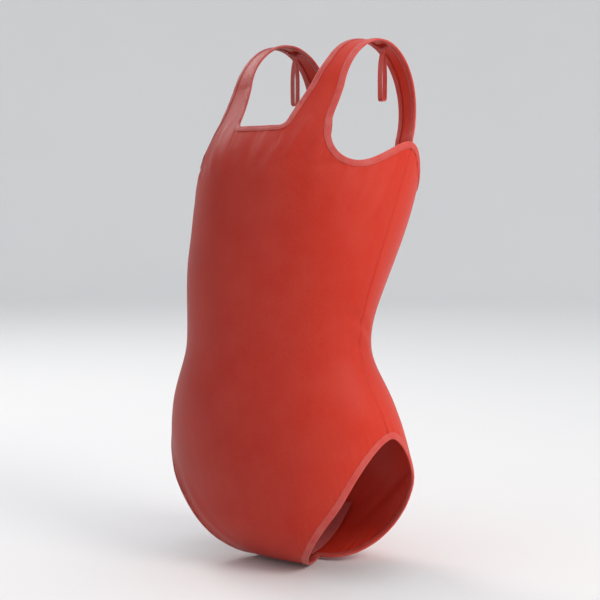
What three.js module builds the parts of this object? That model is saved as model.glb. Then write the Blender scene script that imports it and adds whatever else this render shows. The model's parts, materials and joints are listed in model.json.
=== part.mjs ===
// A sleeveless tank leotard for gymnastics, in the shape it has when a gymnast wears it.
// Millimetres, +Z up, the front faces -Y. The origin is the centre of the wearer's waist.
// A point of the cloth is named by two body coordinates: `turn`, the angle round the body in
// radians (0 at the centre front, +90 degrees at the left side, 180 degrees at the centre back),
// and `climb`, the length along the body's upright line (0 at the waist, positive towards the
// shoulder, and on round under the crotch or over the shoulder at the two ends).
import * as THREE from "three";

const degree = Math.PI / 180;
const quarter = Math.PI / 2;

// ---- The wearer's torso -------------------------------------------------------------------
const crotchDrop = 245; // waist to the lowest point of the crotch, along the spine
const shoulderRise = 350; // waist to the top of the shoulder, along the spine
const seatRound = 82; // height of the round underside between the legs
const yokeRound = 80; // height of the round top of the shoulders
const chestHalfWidth = 138;
const waistHalfWidth = 117;
const hipHalfWidth = 157;
const chestDepth = 96; // centre line to the breastbone
const waistDepth = 73; // centre line to the navel
const hipDepth = 90; // centre line to the belly
const backFullness = 1.06; // depth behind the centre line, as a share of that in front
const bustFullness = 9;
const seatFullness = 17;
const leanBack = 21 * degree; // how far the arched upper body leans back
const pelvisTilt = 12 * degree; // how far the pelvis tips forward
const archLength = 95; // length of the bend above the waist, and of the bend below it

// ---- Cloth, elastic and clearances --------------------------------------------------------
const shellCloth = 0.9;
const bindingCloth = 0.6;
const liningCloth = 0.5;
const elasticThickness = 0.8;
const elasticWidth = 4.6;
const bindingWidth = 6.5;
const ply = 0.55; // clearance between two plies that lie on each other
const seamGap = 0.4; // clearance between two panels that meet edge to edge
const foldRoom = 0.55; // clearance between a panel's raw edge and the fold of its binding

// ---- Openings -----------------------------------------------------------------------------
const frontNeck = 215; // climb of the square front neckline
const frontNeckHalf = 35;
const frontNeckCorner = 8;
const backNeck = 118; // climb of the low point of the round back neckline
const backNeckHalf = 50;
const backNeckTop = 205; // climb where the round back neckline runs into the straps
const strapWidth = 28; // width of a strap at the shoulder
const strapCentre = 64; // distance of a strap from the centre line at the shoulder
const strapBaseOuter = 80; // distance of a strap's outer edge from the centre line at its base
const strapTaperEnd = 310; // climb where the strap has narrowed to its width
const underarm = 230; // climb of the side seam's upper end
const frontScoop = { turn: 53 * degree, climb: 188, rise: 56 };
const backScoop = { turn: 124 * degree, climb: 203, rise: 54 };
const legTop = -92; // climb of the side seam's lower end
const crotchHalf = 31; // half the width of the cloth between the legs, at chest scale

// ---- Seams, labels and hanger loops -------------------------------------------------------
const seamAllowance = 5;
const seamThickness = 1.0;
const tackThickness = 0.8;
const loopRibbon = 6; // width of a hanger loop's ribbon
const loopThickness = 0.8;
const loopGap = 8; // clear width inside a hanging loop
const loopLength = 58;
const loopStitch = 4; // length over which the ribbon's two ends are stitched together
const loopTaper = 16; // length from the loop's top to its full width
const labelThickness = 0.5;
const sizeLabel = { width: 30, height: 20 };
const careLabel = { width: 20, height: 34 };
const careLabelClimb = -34; // climb of the care label's middle

// ---- How finely the cloth is cut into facets ----------------------------------------------
const seatSteps = [7, 16, 26, 37, 49, 62, 76, 92]; // climb of the lowest rows above the edge
const neckSteps = [8, 19, 33, 50]; // climb of the highest rows below the upper edge
const trunkRows = 20;
const strapRows = 11;
const legStep = 17; // longest step along a leg's edge between two columns

const seatStart = -(crotchDrop - seatRound);
const yokeStart = shoulderRise - yokeRound;
const crotchClimb = seatStart - seatRound * quarter;
const shoulderClimb = yokeStart + yokeRound * quarter;
const crotchTurn = Math.asin(crotchHalf / chestHalfWidth);
const strapInner = strapCentre - strapWidth / 2;
const strapOuter = strapCentre + strapWidth / 2;

// ---- Small mathematics --------------------------------------------------------------------
const mix = (a, b, t) => a + (b - a) * t;
const clamp01 = (t) => Math.min(1, Math.max(0, t));
const ease = (t) => clamp01(t) ** 2 * (3 - 2 * clamp01(t));
const hill = (distance, reach) => Math.exp(-((distance / reach) ** 2) / 2);

// A smooth curve through [height, value] pairs, by cubic pieces with averaged slopes.
function smoothCurve(knots) {
  const slope = knots.map((knot, i) => {
    const before = knots[Math.max(0, i - 1)];
    const after = knots[Math.min(knots.length - 1, i + 1)];
    return (after[1] - before[1]) / (after[0] - before[0]);
  });
  return (height) => {
    const h = Math.min(Math.max(height, knots[0][0]), knots.at(-1)[0]);
    const i = Math.max(0, Math.min(knots.length - 2, knots.findLastIndex((k) => k[0] <= h)));
    const [h0, v0] = knots[i];
    const [h1, v1] = knots[i + 1];
    const span = h1 - h0;
    const t = (h - h0) / span;
    const bend0 = slope[i] * span;
    const bend1 = slope[i + 1] * span;
    const rise = v1 - v0;
    return v0 + bend0 * t + (3 * rise - 2 * bend0 - bend1) * t ** 2 + (bend0 + bend1 - 2 * rise) * t ** 3;
  };
}

// ---- The torso's surface ------------------------------------------------------------------
const halfWidthAt = smoothCurve([
  [-crotchDrop, hipHalfWidth * 0.8],
  [seatStart, hipHalfWidth * 0.99],
  [-140, hipHalfWidth],
  [-70, mix(waistHalfWidth, hipHalfWidth, 0.66)],
  [0, waistHalfWidth],
  [90, mix(waistHalfWidth, chestHalfWidth, 0.4)],
  [180, chestHalfWidth * 0.97],
  [yokeStart, chestHalfWidth],
]);
const depthAt = smoothCurve([
  [seatStart, hipDepth * 0.97],
  [-110, hipDepth],
  [-50, mix(waistDepth, hipDepth, 0.55)],
  [0, waistDepth],
  [80, mix(waistDepth, chestDepth, 0.45)],
  [170, chestDepth],
  [yokeStart, chestDepth * 0.84],
]);

// The spine is straight, then an arc on each side of the waist, then straight again.
function spineAt(height) {
  const most = height < 0 ? pelvisTilt : leanBack;
  const radius = archLength / most;
  const along = Math.min(Math.abs(height), archLength);
  const tilt = along / radius;
  const beyond = Math.abs(height) - along;
  const sign = Math.sign(height);
  return {
    y: radius * (1 - Math.cos(tilt)) + beyond * Math.sin(tilt),
    z: sign * (radius * Math.sin(tilt) + beyond * Math.cos(tilt)),
    tilt: sign * tilt,
  };
}

// The height and the share of the full depth at a climb, with the round ends worked out.
function levelAt(climb) {
  if (climb < seatStart) {
    const under = (seatStart - climb) / seatRound;
    return { height: seatStart - seatRound * Math.sin(under), share: Math.cos(under) };
  }
  if (climb > yokeStart) {
    const over = (climb - yokeStart) / yokeRound;
    return { height: yokeStart + yokeRound * Math.sin(over), share: Math.cos(over) };
  }
  return { height: climb, share: 1 };
}

// The cloth's inner face on the body.
function skin(turn, climb) {
  const { height, share } = levelAt(climb);
  const x = halfWidthAt(height) * Math.sin(turn);
  const facing = Math.cos(turn);
  const depth = depthAt(height) * (facing < 0 ? backFullness : 1);
  const side = Math.abs(x);
  const bust = bustFullness * hill(side - 58, 34) * hill(height - 172, 36);
  const seat = seatFullness * hill(side - 64, 46) * hill(height + 132, 54);
  const swell = facing > 0 ? bust * facing ** 2 : seat * facing ** 2;
  const y = -Math.sign(facing) * (depth * Math.abs(facing) + swell) * share;
  const spine = spineAt(height);
  return new THREE.Vector3(
    x,
    spine.y + y * Math.cos(spine.tilt),
    spine.z - y * Math.sin(spine.tilt),
  );
}

// The skin's two tangents and its outward normal.
function tangents(turn, climb) {
  const dTurn = 1e-3;
  const dClimb = 0.1;
  const round = skin(turn + dTurn, climb).sub(skin(turn - dTurn, climb)).divideScalar(2 * dTurn);
  const up = skin(turn, climb + dClimb).sub(skin(turn, climb - dClimb)).divideScalar(2 * dClimb);
  return { round, up, normal: round.clone().cross(up).normalize() };
}

// A point at a distance off the skin, outwards if positive.
function off(turn, climb, distance) {
  return skin(turn, climb).addScaledVector(tangents(turn, climb).normal, distance);
}

// The turn of a point whose distance from the centre line is given at chest scale.
const frontTurn = (across) => Math.asin(THREE.MathUtils.clamp(across / chestHalfWidth, -1, 1));
const backTurn = (across) => Math.PI - frontTurn(across);

// The turn that a distance across the side seam takes.
const sideTurn = (climb, across) => across / depthAt(levelAt(climb).height);

// ---- Solids -------------------------------------------------------------------------------
function geometryFrom(points, triangles) {
  const geometry = new THREE.BufferGeometry();
  geometry.setAttribute("position", new THREE.Float32BufferAttribute(points.flatMap((p) => p.toArray()), 3));
  const volume = triangles.reduce((sum, [a, b, c]) => {
    return sum + points[a].dot(points[b].clone().cross(points[c])) / 6;
  }, 0);
  geometry.setIndex(triangles.flatMap(([a, b, c]) => (volume < 0 ? [a, c, b] : [a, b, c])));
  geometry.computeVertexNormals();
  return geometry;
}

// A cloth of even thickness over quads of [turn, climb] nodes, with its cut edges walled.
function clothSolid(nodes, quads, innerFace, outerFace) {
  const count = nodes.length;
  const points = [outerFace, innerFace].flatMap((face) => nodes.map(([turn, climb]) => off(turn, climb, face)));
  const triangles = [];
  const edges = new Set();
  quads.forEach((quad) => quad.forEach((a, i) => edges.add(a * count + quad[(i + 1) % 4])));
  quads.forEach(([a, b, c, d]) => {
    const shortest = points[a].distanceTo(points[c]) < points[b].distanceTo(points[d]);
    const halves = shortest ? [[a, b, c], [a, c, d]] : [[a, b, d], [b, c, d]];
    halves.forEach(([i, j, k]) => triangles.push([i, j, k], [i + count, k + count, j + count]));
  });
  edges.forEach((edge) => {
    const a = Math.floor(edge / count);
    const b = edge % count;
    if (!edges.has(b * count + a)) triangles.push([b, a, a + count], [b, a + count, b + count]);
  });
  return geometryFrom(points, triangles);
}

// A bar of the given section swept through stations. `place` gives the point of a station for a
// section corner. An open bar gets its two ends closed.
function sweep(stations, section, place, closed) {
  const size = section.length;
  const points = stations.flatMap((station) => section.map((corner) => place(station, corner)));
  const triangles = [];
  const steps = closed ? stations.length : stations.length - 1;
  for (let i = 0; i < steps; i += 1) {
    const here = i * size;
    const next = ((i + 1) % stations.length) * size;
    for (let k = 0; k < size; k += 1) {
      const after = (k + 1) % size;
      triangles.push([here + k, here + after, next + after], [here + k, next + after, next + k]);
    }
  }
  if (!closed) {
    const last = (stations.length - 1) * size;
    for (let k = 1; k < size - 1; k += 1) {
      triangles.push([0, k + 1, k], [last, last + k, last + k + 1]);
    }
  }
  return geometryFrom(points, triangles);
}

// ---- The outline of the two panels --------------------------------------------------------
// The lower edge, from the crotch round the leg to the side seam.
function legEdge(turn) {
  const front = turn <= quarter;
  const fromCrotch = clamp01(((front ? turn : Math.PI - turn) - crotchTurn) / (quarter - crotchTurn));
  const rise = front
    ? Math.sin(quarter * fromCrotch ** 0.9)
    : Math.sin(quarter * fromCrotch ** 1.1) ** 2;
  return mix(crotchClimb, legTop, rise);
}

// The armhole's edge below the strap: a quarter of an ellipse down to the scoop's low point, and
// an easy rise from there to the side seam.
function armholeEdge(turn, scoop) {
  const beyond = (turn - scoop.turn) / (quarter - scoop.turn);
  if (beyond > 0) return mix(scoop.climb, underarm, (1 - Math.cos(Math.PI * clamp01(beyond))) / 2);
  const scoopAcross = chestHalfWidth * Math.sin(scoop.turn);
  const across = chestHalfWidth * Math.sin(turn);
  const inside = clamp01((scoopAcross - across) / (scoopAcross - strapBaseOuter));
  return scoop.climb + scoop.rise * (1 - Math.sqrt(1 - inside ** 2));
}

const panelForms = {
  front: {
    scoop: frontScoop,
    strapColumns: 6,
    scoopAngles: [68, 50, 33, 16, 0],
    turnAt: frontTurn,
    innerBase: frontNeck + frontNeckCorner,
    innerAt: (climb) =>
      mix(frontNeckHalf, strapInner, ease((climb - frontNeck) / (strapTaperEnd - frontNeck))),
    neck: [
      ...[0, 1, 2, 3].map((i) => [((frontNeckHalf - frontNeckCorner) * i) / 3, frontNeck]),
      ...[30, 60].map((angle) => [
        frontNeckHalf - frontNeckCorner * (1 - Math.sin(angle * degree)),
        frontNeck + frontNeckCorner * (1 - Math.cos(angle * degree)),
      ]),
    ],
  },
  back: {
    scoop: backScoop,
    strapColumns: 3,
    scoopAngles: [68, 50, 33, 16, 0],
    turnAt: backTurn,
    innerBase: backNeckTop,
    innerAt: (climb) =>
      mix(backNeckHalf, strapInner, ease((climb - backNeckTop) / (strapTaperEnd - backNeckTop))),
    neck: [0, 0.3, crotchHalf / backNeckHalf, 0.79, 0.91, 0.975].map((share) => [
      backNeckHalf * share,
      mix(backNeckTop, backNeck, Math.sqrt(1 - share ** 2)),
    ]),
  },
};

const outerAt = (climb, base) =>
  mix(strapBaseOuter, strapOuter, ease((climb - base) / (strapTaperEnd - base)));

// The columns of half a panel, from its centre line to its side seam: each has the turn it
// keeps from bottom to top, its lower and upper climb, and its share across the strap, if any.
function halfColumns(form) {
  const { scoop, scoopAngles, strapColumns, turnAt, neck, innerBase, innerAt } = form;
  const outerBase = scoop.climb + scoop.rise;
  const columns = neck.map(([across, top]) => ({ turn: turnAt(across), top }));
  for (let i = 0; i <= strapColumns; i += 1) {
    const share = i / strapColumns;
    const top = mix(innerBase, outerBase, share);
    const across = mix(innerAt(top), outerAt(top, outerBase), share);
    columns.push({ turn: turnAt(across), top, share });
  }
  const scoopAcross = chestHalfWidth * Math.sin(scoop.turn);
  const scoopTurns = scoopAngles.map((angle) =>
    turnAt(mix(scoopAcross, strapBaseOuter, Math.sin(angle * degree))),
  );
  const seam = quarter + (Math.sign(scoop.turn - quarter) * seamGap) / 2 / chestHalfWidth;
  const sideTurns = [1, 2, 3, 4, 5].map((i) => mix(scoop.turn, seam, i / 5));
  const turns = [turnAt(strapBaseOuter), ...scoopTurns, ...sideTurns];
  const lowAt = (turn) => Math.max(legEdge(turn), crotchClimb + seamGap / 2);
  const spread = (from, to) => {
    const middle = (from + to) / 2;
    const length = skin(from, lowAt(from)).distanceTo(skin(to, lowAt(to)));
    return length > legStep ? [...spread(from, middle), ...spread(middle, to)] : [to];
  };
  turns.slice(1).forEach((turn, i) => {
    spread(turns[i], turn).forEach((t) => columns.push({ turn: t, top: armholeEdge(t, scoop) }));
  });
  columns.forEach((column) => {
    column.low = lowAt(column.turn);
  });
  return columns;
}

// A column's climb at a row. The lowest rows keep their distance from the lower edge, the
// highest keep theirs from the upper edge, and the rest share what is left.
function rowClimb(column, row) {
  const lowRows = seatSteps.length;
  const highRow = trunkRows - neckSteps.length;
  if (row === 0) return column.low;
  if (row <= lowRows) return column.low + seatSteps[row - 1];
  if (row === trunkRows) return column.top;
  if (row >= highRow) return column.top - neckSteps[trunkRows - 1 - row];
  const share = (row - lowRows) / (highRow - lowRows);
  return mix(column.low + seatSteps.at(-1), column.top - neckSteps.at(-1), share);
}

const mirrored = ([turn, climb]) => [-turn, climb];

// The nodes of a strap at a share across it, from its base to the shoulder.
function strapColumn(form, column) {
  const outerBase = form.scoop.climb + form.scoop.rise;
  const rows = [];
  for (let row = 1; row <= strapRows; row += 1) {
    const climb = mix(column.top, shoulderClimb - seamGap / 2, row / strapRows);
    const across = mix(form.innerAt(climb), outerAt(climb, outerBase), column.share);
    rows.push([form.turnAt(across), climb]);
  }
  return rows;
}

// A panel's mesh: columns of nodes from the one side seam to the other, and the two straps.
function panelMesh(form) {
  const half = halfColumns(form);
  const nodes = [];
  const quads = [];
  const add = (node) => nodes.push(node) - 1;
  const columnNodes = (column, mirror) =>
    Array.from({ length: trunkRows + 1 }, (_, row) => {
      const node = [column.turn, rowClimb(column, row)];
      return add(mirror ? mirrored(node) : node);
    });
  const right = half.map((column) => columnNodes(column, false));
  const left = half.slice(1).map((column) => columnNodes(column, true));
  const trunk = [...left.slice().reverse(), ...right];
  const bridge = (first, second, rows) => {
    for (let row = 0; row < rows; row += 1) {
      quads.push([first[row], second[row], second[row + 1], first[row + 1]]);
    }
  };
  trunk.slice(1).forEach((column, i) => bridge(trunk[i], column, trunkRows));

  const strapStart = half.findIndex((column) => column.share === 0);
  const strapEnd = strapStart + form.strapColumns;
  const strapOf = (mirror) => {
    const sides = half.slice(strapStart, strapEnd + 1).map((column, i) => {
      const base = (mirror ? left[strapStart + i - 1] : right[strapStart + i])[trunkRows];
      const rows = strapColumn(form, column).map((node) => add(mirror ? mirrored(node) : node));
      return [base, ...rows];
    });
    if (mirror) sides.reverse();
    sides.slice(1).forEach((side, i) => bridge(sides[i], side, strapRows));
  };
  strapOf(false);
  strapOf(true);
  return { nodes, quads, half, trunk };
}

const frontMesh = panelMesh(panelForms.front);
const backMesh = panelMesh(panelForms.back);

// ---- Edges of the five openings -----------------------------------------------------------
const topNodes = (columns) => columns.map((column) => [column.turn, column.top]);
const strapEdge = (form, half, share) => {
  const column = half.find((c) => c.share === share);
  return [[column.turn, column.top], ...strapColumn(form, column)];
};

// Half the neck edge, from the centre front over the strap to the centre back.
function halfNeck() {
  const { front, back } = panelForms;
  const frontColumns = frontMesh.half.slice(0, front.neck.length);
  const backColumns = backMesh.half.slice(0, back.neck.length);
  return [
    ...topNodes(frontColumns),
    ...strapEdge(front, frontMesh.half, 0).slice(0, -1),
    ...strapEdge(back, backMesh.half, 0).reverse(),
    ...topNodes(backColumns).reverse(),
  ];
}

function neckEdge() {
  const half = halfNeck();
  return [...half, ...half.slice(1, -1).reverse().map(mirrored)];
}

function armEdge() {
  const { front, back } = panelForms;
  const outside = (form, half) => topNodes(half.slice(form.neck.length + form.strapColumns + 1));
  return [
    ...outside(front, frontMesh.half).slice(0, -1).reverse(),
    ...strapEdge(front, frontMesh.half, 1).slice(0, -1),
    ...strapEdge(back, backMesh.half, 1).reverse(),
    ...outside(back, backMesh.half),
  ];
}

function legEdgeNodes() {
  const bottom = (half) =>
    half.filter((column) => Math.abs(Math.sin(column.turn)) >= Math.sin(crotchTurn) - 1e-6);
  const frontLow = bottom(frontMesh.half).map((column) => [column.turn, column.low]);
  const backLow = bottom(backMesh.half).map((column) => [column.turn, column.low]);
  return [...frontLow.slice(0, -1), ...backLow.reverse().slice(0, -1)];
}

// Gives each node of a closed edge its direction into the cloth, as steps of turn and climb for
// one millimetre across the edge. `inward` is 1 where the cloth lies left of the way round.
function edgeStations(nodes, inward) {
  const points = nodes.map(([turn, climb]) => skin(turn, climb));
  return nodes.map(([turn, climb], i) => {
    const before = points[(i + nodes.length - 1) % nodes.length];
    const after = points[(i + 1) % nodes.length];
    const { round, up, normal } = tangents(turn, climb);
    const into = normal.clone().cross(after.clone().sub(before)).normalize().multiplyScalar(inward);
    const rr = round.dot(round);
    const uu = up.dot(up);
    const ru = round.dot(up);
    const ri = round.dot(into);
    const ui = up.dot(into);
    const det = rr * uu - ru * ru;
    return { turn, climb, dTurn: (ri * uu - ui * ru) / det, dClimb: (ui * rr - ri * ru) / det };
  });
}

// A corner of a swept section is [distance into the cloth, distance off the skin].
const onEdge = (station, [into, out]) =>
  off(station.turn + station.dTurn * into, station.climb + station.dClimb * into, out);

const bindingOuterFace = shellCloth + ply;
const bindingInnerFace = -(ply + elasticThickness + ply);
const bindingSection = [
  [bindingWidth, bindingOuterFace],
  [bindingWidth, bindingOuterFace + bindingCloth],
  [-foldRoom - bindingCloth, bindingOuterFace + bindingCloth],
  [-foldRoom - bindingCloth, bindingInnerFace - bindingCloth],
  [bindingWidth, bindingInnerFace - bindingCloth],
  [bindingWidth, bindingInnerFace],
  [-foldRoom, bindingInnerFace],
  [-foldRoom, bindingOuterFace],
];
const elasticStart = (bindingWidth - elasticWidth) / 2;
const elasticSection = [
  [elasticStart, -ply],
  [elasticStart + elasticWidth, -ply],
  [elasticStart + elasticWidth, -ply - elasticThickness],
  [elasticStart, -ply - elasticThickness],
];

// ---- Materials ----------------------------------------------------------------------------
const cloth = (color, roughness) => new THREE.MeshStandardMaterial({ color, roughness, metalness: 0 });
const shellMaterial = cloth(0xb83a2b, 0.38);
const bindingMaterial = cloth(0xa83a33, 0.45);
const liningMaterial = cloth(0xc9564a, 0.7);
const elasticMaterial = cloth(0xe8e2dc, 0.6);
const threadMaterial = cloth(0xb4473b, 0.6);
const ribbonMaterial = cloth(0xc43a2e, 0.4);
const labelMaterial = cloth(0xf2efe9, 0.55);

const leotard = new THREE.Group();
leotard.name = "leotard";

function addPiece(name, geometry, material) {
  const mesh = new THREE.Mesh(geometry, material);
  mesh.name = name;
  leotard.add(mesh);
  return mesh;
}

// ---- Shell panels -------------------------------------------------------------------------
addPiece("front_panel", clothSolid(frontMesh.nodes, frontMesh.quads, 0, shellCloth), shellMaterial);
addPiece("back_panel", clothSolid(backMesh.nodes, backMesh.quads, 0, shellCloth), shellMaterial);

// ---- Linings ------------------------------------------------------------------------------
// The bust lining follows the front panel's mesh between two of its rows.
function bustLining() {
  const firstRow = 13;
  const lastRow = trunkRows - 3;
  const columns = frontMesh.trunk.map((column) =>
    column.slice(firstRow, lastRow + 1).map((index) => {
      const [turn, climb] = frontMesh.nodes[index];
      const seamEdge = quarter - sideTurn(climb, seamAllowance / 2 + ply);
      return [THREE.MathUtils.clamp(turn, -seamEdge, seamEdge), climb];
    }),
  );
  const rows = columns[0].length;
  const nodes = columns.flat();
  const quads = [];
  for (let c = 0; c < columns.length - 1; c += 1) {
    for (let r = 0; r < rows - 1; r += 1) {
      const corner = c * rows + r;
      quads.push([corner, corner + rows, corner + rows + 1, corner + 1]);
    }
  }
  return clothSolid(nodes, quads, -ply - liningCloth, -ply);
}
addPiece("bust_lining", bustLining(), liningMaterial);

// The gusset lining is one strip through the crotch, between the two leg bindings.
function gussetLining() {
  const frontRows = seatSteps.slice(0, 6);
  const backRows = seatSteps.slice(0, 7);
  const half = (crotchHalf - bindingWidth * (chestHalfWidth / halfWidthAt(-crotchDrop)) - 1.2) / chestHalfWidth;
  const crossings = [-1, -0.5, 0, 0.5, 1];
  const top = -ply - seamThickness - ply;
  const strip = [...frontRows.map((step) => -step).reverse(), 0, ...backRows];
  const nodes = strip.flatMap((along) =>
    crossings.map((share) => {
      const turn = Math.asin(half * share);
      return [along < 0 ? turn : Math.PI - turn, crotchClimb + Math.abs(along)];
    }),
  );
  const quads = [];
  for (let i = 0; i < strip.length - 1; i += 1) {
    for (let k = 0; k < crossings.length - 1; k += 1) {
      const corner = i * crossings.length + k;
      quads.push([corner, corner + crossings.length, corner + crossings.length + 1, corner + 1]);
    }
  }
  return clothSolid(nodes, quads, top - liningCloth, top);
}
addPiece("gusset_lining", gussetLining(), liningMaterial);

// ---- Bindings with their elastics ---------------------------------------------------------
function bindEdge(name, nodes, inward) {
  const stations = edgeStations(nodes, inward);
  addPiece(name + "_binding", sweep(stations, bindingSection, onEdge, true), bindingMaterial);
  addPiece(name + "_elastic", sweep(stations, elasticSection, onEdge, true), elasticMaterial);
}
bindEdge("neck", neckEdge(), -1);
bindEdge("left_armhole", armEdge(), 1);
bindEdge("right_armhole", armEdge().map(mirrored), -1);
bindEdge("left_leg", legEdgeNodes(), 1);
bindEdge("right_leg", legEdgeNodes().map(mirrored), -1);

// ---- Seams --------------------------------------------------------------------------------
// An overlocked seam is a flat ridge on the inside, centred on the line where two panels meet.
const seamClear = bindingWidth + ply;
const seamTop = -ply;
const seamSection = [
  [-seamAllowance / 2, seamTop],
  [seamAllowance / 2, seamTop],
  [seamAllowance / 2, seamTop - seamThickness],
  [-seamAllowance / 2, seamTop - seamThickness],
];

function sideSeam(sign) {
  const rows = frontMesh.half.at(-1);
  const inner = Array.from({ length: trunkRows - 3 }, (_, i) => rowClimb(rows, i + 2));
  const stations = [legTop + seamClear, ...inner, underarm - seamClear];
  const place = (climb, [across, out]) => off(sign * (quarter + sideTurn(climb, across)), climb, out);
  return sweep(stations, seamSection, place, false);
}
addPiece("left_side_seam", sideSeam(1), threadMaterial);
addPiece("right_side_seam", sideSeam(-1), threadMaterial);

function shoulderSeam(sign) {
  const from = strapInner + seamClear;
  const to = strapOuter - seamClear;
  const stations = [from, mix(from, to, 0.5), to];
  const place = (across, [along, out]) => off(sign * frontTurn(across), shoulderClimb + along, out);
  return sweep(stations, seamSection, place, false);
}
addPiece("left_shoulder_seam", shoulderSeam(1), threadMaterial);
addPiece("right_shoulder_seam", shoulderSeam(-1), threadMaterial);

function crotchSeam() {
  const scale = chestHalfWidth / halfWidthAt(-crotchDrop);
  const half = crotchHalf - (seamClear + ply) * scale;
  const stations = [-1, -0.5, 0, 0.5, 1].map((share) => share * half);
  const place = (across, [along, out]) => {
    const reach = (along * seatRound) / hipDepth;
    return off(frontTurn(across), crotchClimb + reach, out);
  };
  return sweep(stations, seamSection, place, false);
}
addPiece("crotch_seam", crotchSeam(), threadMaterial);

// ---- Hanger loops -------------------------------------------------------------------------
// A ribbon folded into a long loop. It hangs from a bar tack under the shoulder seam.
function loopGeometry() {
  const half = loopGap / 2;
  const outerSide = [
    [loopThickness, 0],
    [loopThickness, -loopStitch],
    [half + loopThickness, -loopTaper],
    [half + loopThickness, -loopLength],
  ];
  const otherSide = outerSide.map(([across, along]) => [-across, along]).reverse();
  const outline = new THREE.Shape([...outerSide, ...otherSide].map((p) => new THREE.Vector2(...p)));
  const inside = [
    [0, -loopStitch - loopThickness],
    [-half, -loopTaper],
    [-half, -loopLength + loopThickness],
    [half, -loopLength + loopThickness],
    [half, -loopTaper],
  ];
  outline.holes.push(new THREE.Path(inside.map((p) => new THREE.Vector2(...p))));
  const geometry = new THREE.ExtrudeGeometry(outline, { depth: loopRibbon, bevelEnabled: false });
  geometry.translate(0, 0, -loopRibbon / 2);
  // The outline's plane becomes the YZ plane, and the extrusion runs along X.
  geometry.rotateX(quarter).rotateZ(quarter);
  return geometry;
}

function addHanger(side, sign) {
  const seamUnder = off(sign * frontTurn(strapCentre), shoulderClimb, seamTop - seamThickness);
  const tack = new THREE.BoxGeometry(loopRibbon, loopGap, tackThickness);
  const tackDrop = ply + (seamAllowance / 2) * Math.sin(leanBack);
  addPiece(side + "_bar_tack", tack, threadMaterial).position.set(
    seamUnder.x,
    seamUnder.y,
    seamUnder.z - tackDrop - tackThickness / 2,
  );
  addPiece(side + "_hanger_loop", loopGeometry(), ribbonMaterial).position.set(
    seamUnder.x,
    seamUnder.y,
    seamUnder.z - tackDrop - tackThickness - ply,
  );
}
addHanger("left", 1);
addHanger("right", -1);

// ---- Labels -------------------------------------------------------------------------------
// The size label hangs inside the back, from the lower edge of the neck binding.
function addSizeLabel() {
  const { up, normal } = tangents(Math.PI, backNeck - bindingWidth);
  const down = up.clone().normalize().negate();
  const across = new THREE.Vector3(1, 0, 0);
  const backRadius = chestHalfWidth ** 2 / (chestDepth * backFullness);
  const bow = sizeLabel.width ** 2 / (8 * backRadius);
  const depth = -bindingInnerFace + bindingCloth + ply + bow + labelThickness / 2;
  const top = skin(Math.PI, backNeck - bindingWidth / 2).addScaledVector(normal, -depth);
  const label = addPiece(
    "size_label",
    new THREE.BoxGeometry(sizeLabel.width, sizeLabel.height, labelThickness),
    labelMaterial,
  );
  label.position.copy(top).addScaledVector(down, sizeLabel.height / 2);
  label.quaternion.setFromRotationMatrix(
    new THREE.Matrix4().makeBasis(across, down, across.clone().cross(down)),
  );
}
addSizeLabel();

// The care label is caught in the left side seam and hangs inwards from it.
function addCareLabel() {
  const { up, normal } = tangents(quarter, careLabelClimb);
  const along = up.clone().normalize();
  const reach = new THREE.Vector3(0, 0, -1).addScaledVector(along, along.z).normalize();
  const face = reach.clone().cross(along);
  const seamInside = seamTop - seamThickness - ply;
  const label = addPiece(
    "care_label",
    new THREE.BoxGeometry(careLabel.width, careLabel.height, labelThickness),
    labelMaterial,
  );
  label.position
    .copy(skin(quarter, careLabelClimb))
    .addScaledVector(normal, seamInside)
    .addScaledVector(reach, careLabel.width / 2);
  label.quaternion.setFromRotationMatrix(new THREE.Matrix4().makeBasis(reach, along, face));
}
addCareLabel();

export default leotard;
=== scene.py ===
"""A sleeveless gymnastics leotard: cloth panels, bindings, seams, linings, labels and loops."""
import json
import math

import bpy
import numpy as np
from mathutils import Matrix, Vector


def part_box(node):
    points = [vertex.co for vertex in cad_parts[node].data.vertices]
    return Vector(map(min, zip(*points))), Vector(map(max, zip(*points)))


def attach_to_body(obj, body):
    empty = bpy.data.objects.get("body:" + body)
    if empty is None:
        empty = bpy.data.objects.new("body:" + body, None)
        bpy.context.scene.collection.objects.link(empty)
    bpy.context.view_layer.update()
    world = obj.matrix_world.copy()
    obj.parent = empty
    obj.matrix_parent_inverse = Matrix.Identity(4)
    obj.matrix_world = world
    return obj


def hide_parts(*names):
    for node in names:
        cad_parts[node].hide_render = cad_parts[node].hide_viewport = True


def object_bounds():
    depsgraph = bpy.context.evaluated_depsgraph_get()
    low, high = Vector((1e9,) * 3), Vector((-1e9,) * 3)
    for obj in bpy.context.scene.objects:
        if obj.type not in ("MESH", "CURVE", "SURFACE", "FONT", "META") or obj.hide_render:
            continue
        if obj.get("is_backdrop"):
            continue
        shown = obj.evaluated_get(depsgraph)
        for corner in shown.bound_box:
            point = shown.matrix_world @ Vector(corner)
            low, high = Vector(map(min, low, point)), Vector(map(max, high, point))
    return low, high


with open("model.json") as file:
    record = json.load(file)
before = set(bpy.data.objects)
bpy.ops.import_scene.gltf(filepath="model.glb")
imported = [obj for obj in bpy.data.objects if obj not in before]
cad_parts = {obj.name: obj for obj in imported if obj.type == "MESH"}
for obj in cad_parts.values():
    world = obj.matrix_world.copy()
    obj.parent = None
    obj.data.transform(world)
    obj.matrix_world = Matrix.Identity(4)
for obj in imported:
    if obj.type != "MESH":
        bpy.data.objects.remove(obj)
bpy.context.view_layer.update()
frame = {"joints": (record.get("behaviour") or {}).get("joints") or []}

bl_info = {
    "name": "Gymnastics Leotard",
    "version": (1, 0, 0),
    "blender": (4, 5, 0),
    "location": "3D View > Sidebar > Leotard",
    "description": "Builds the cloth, bindings, seams and labels of a tank leotard on its frame",
    "category": "Object",
}

MM = 0.001
DEGREE = math.pi / 180
QUARTER = math.pi / 2

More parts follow.
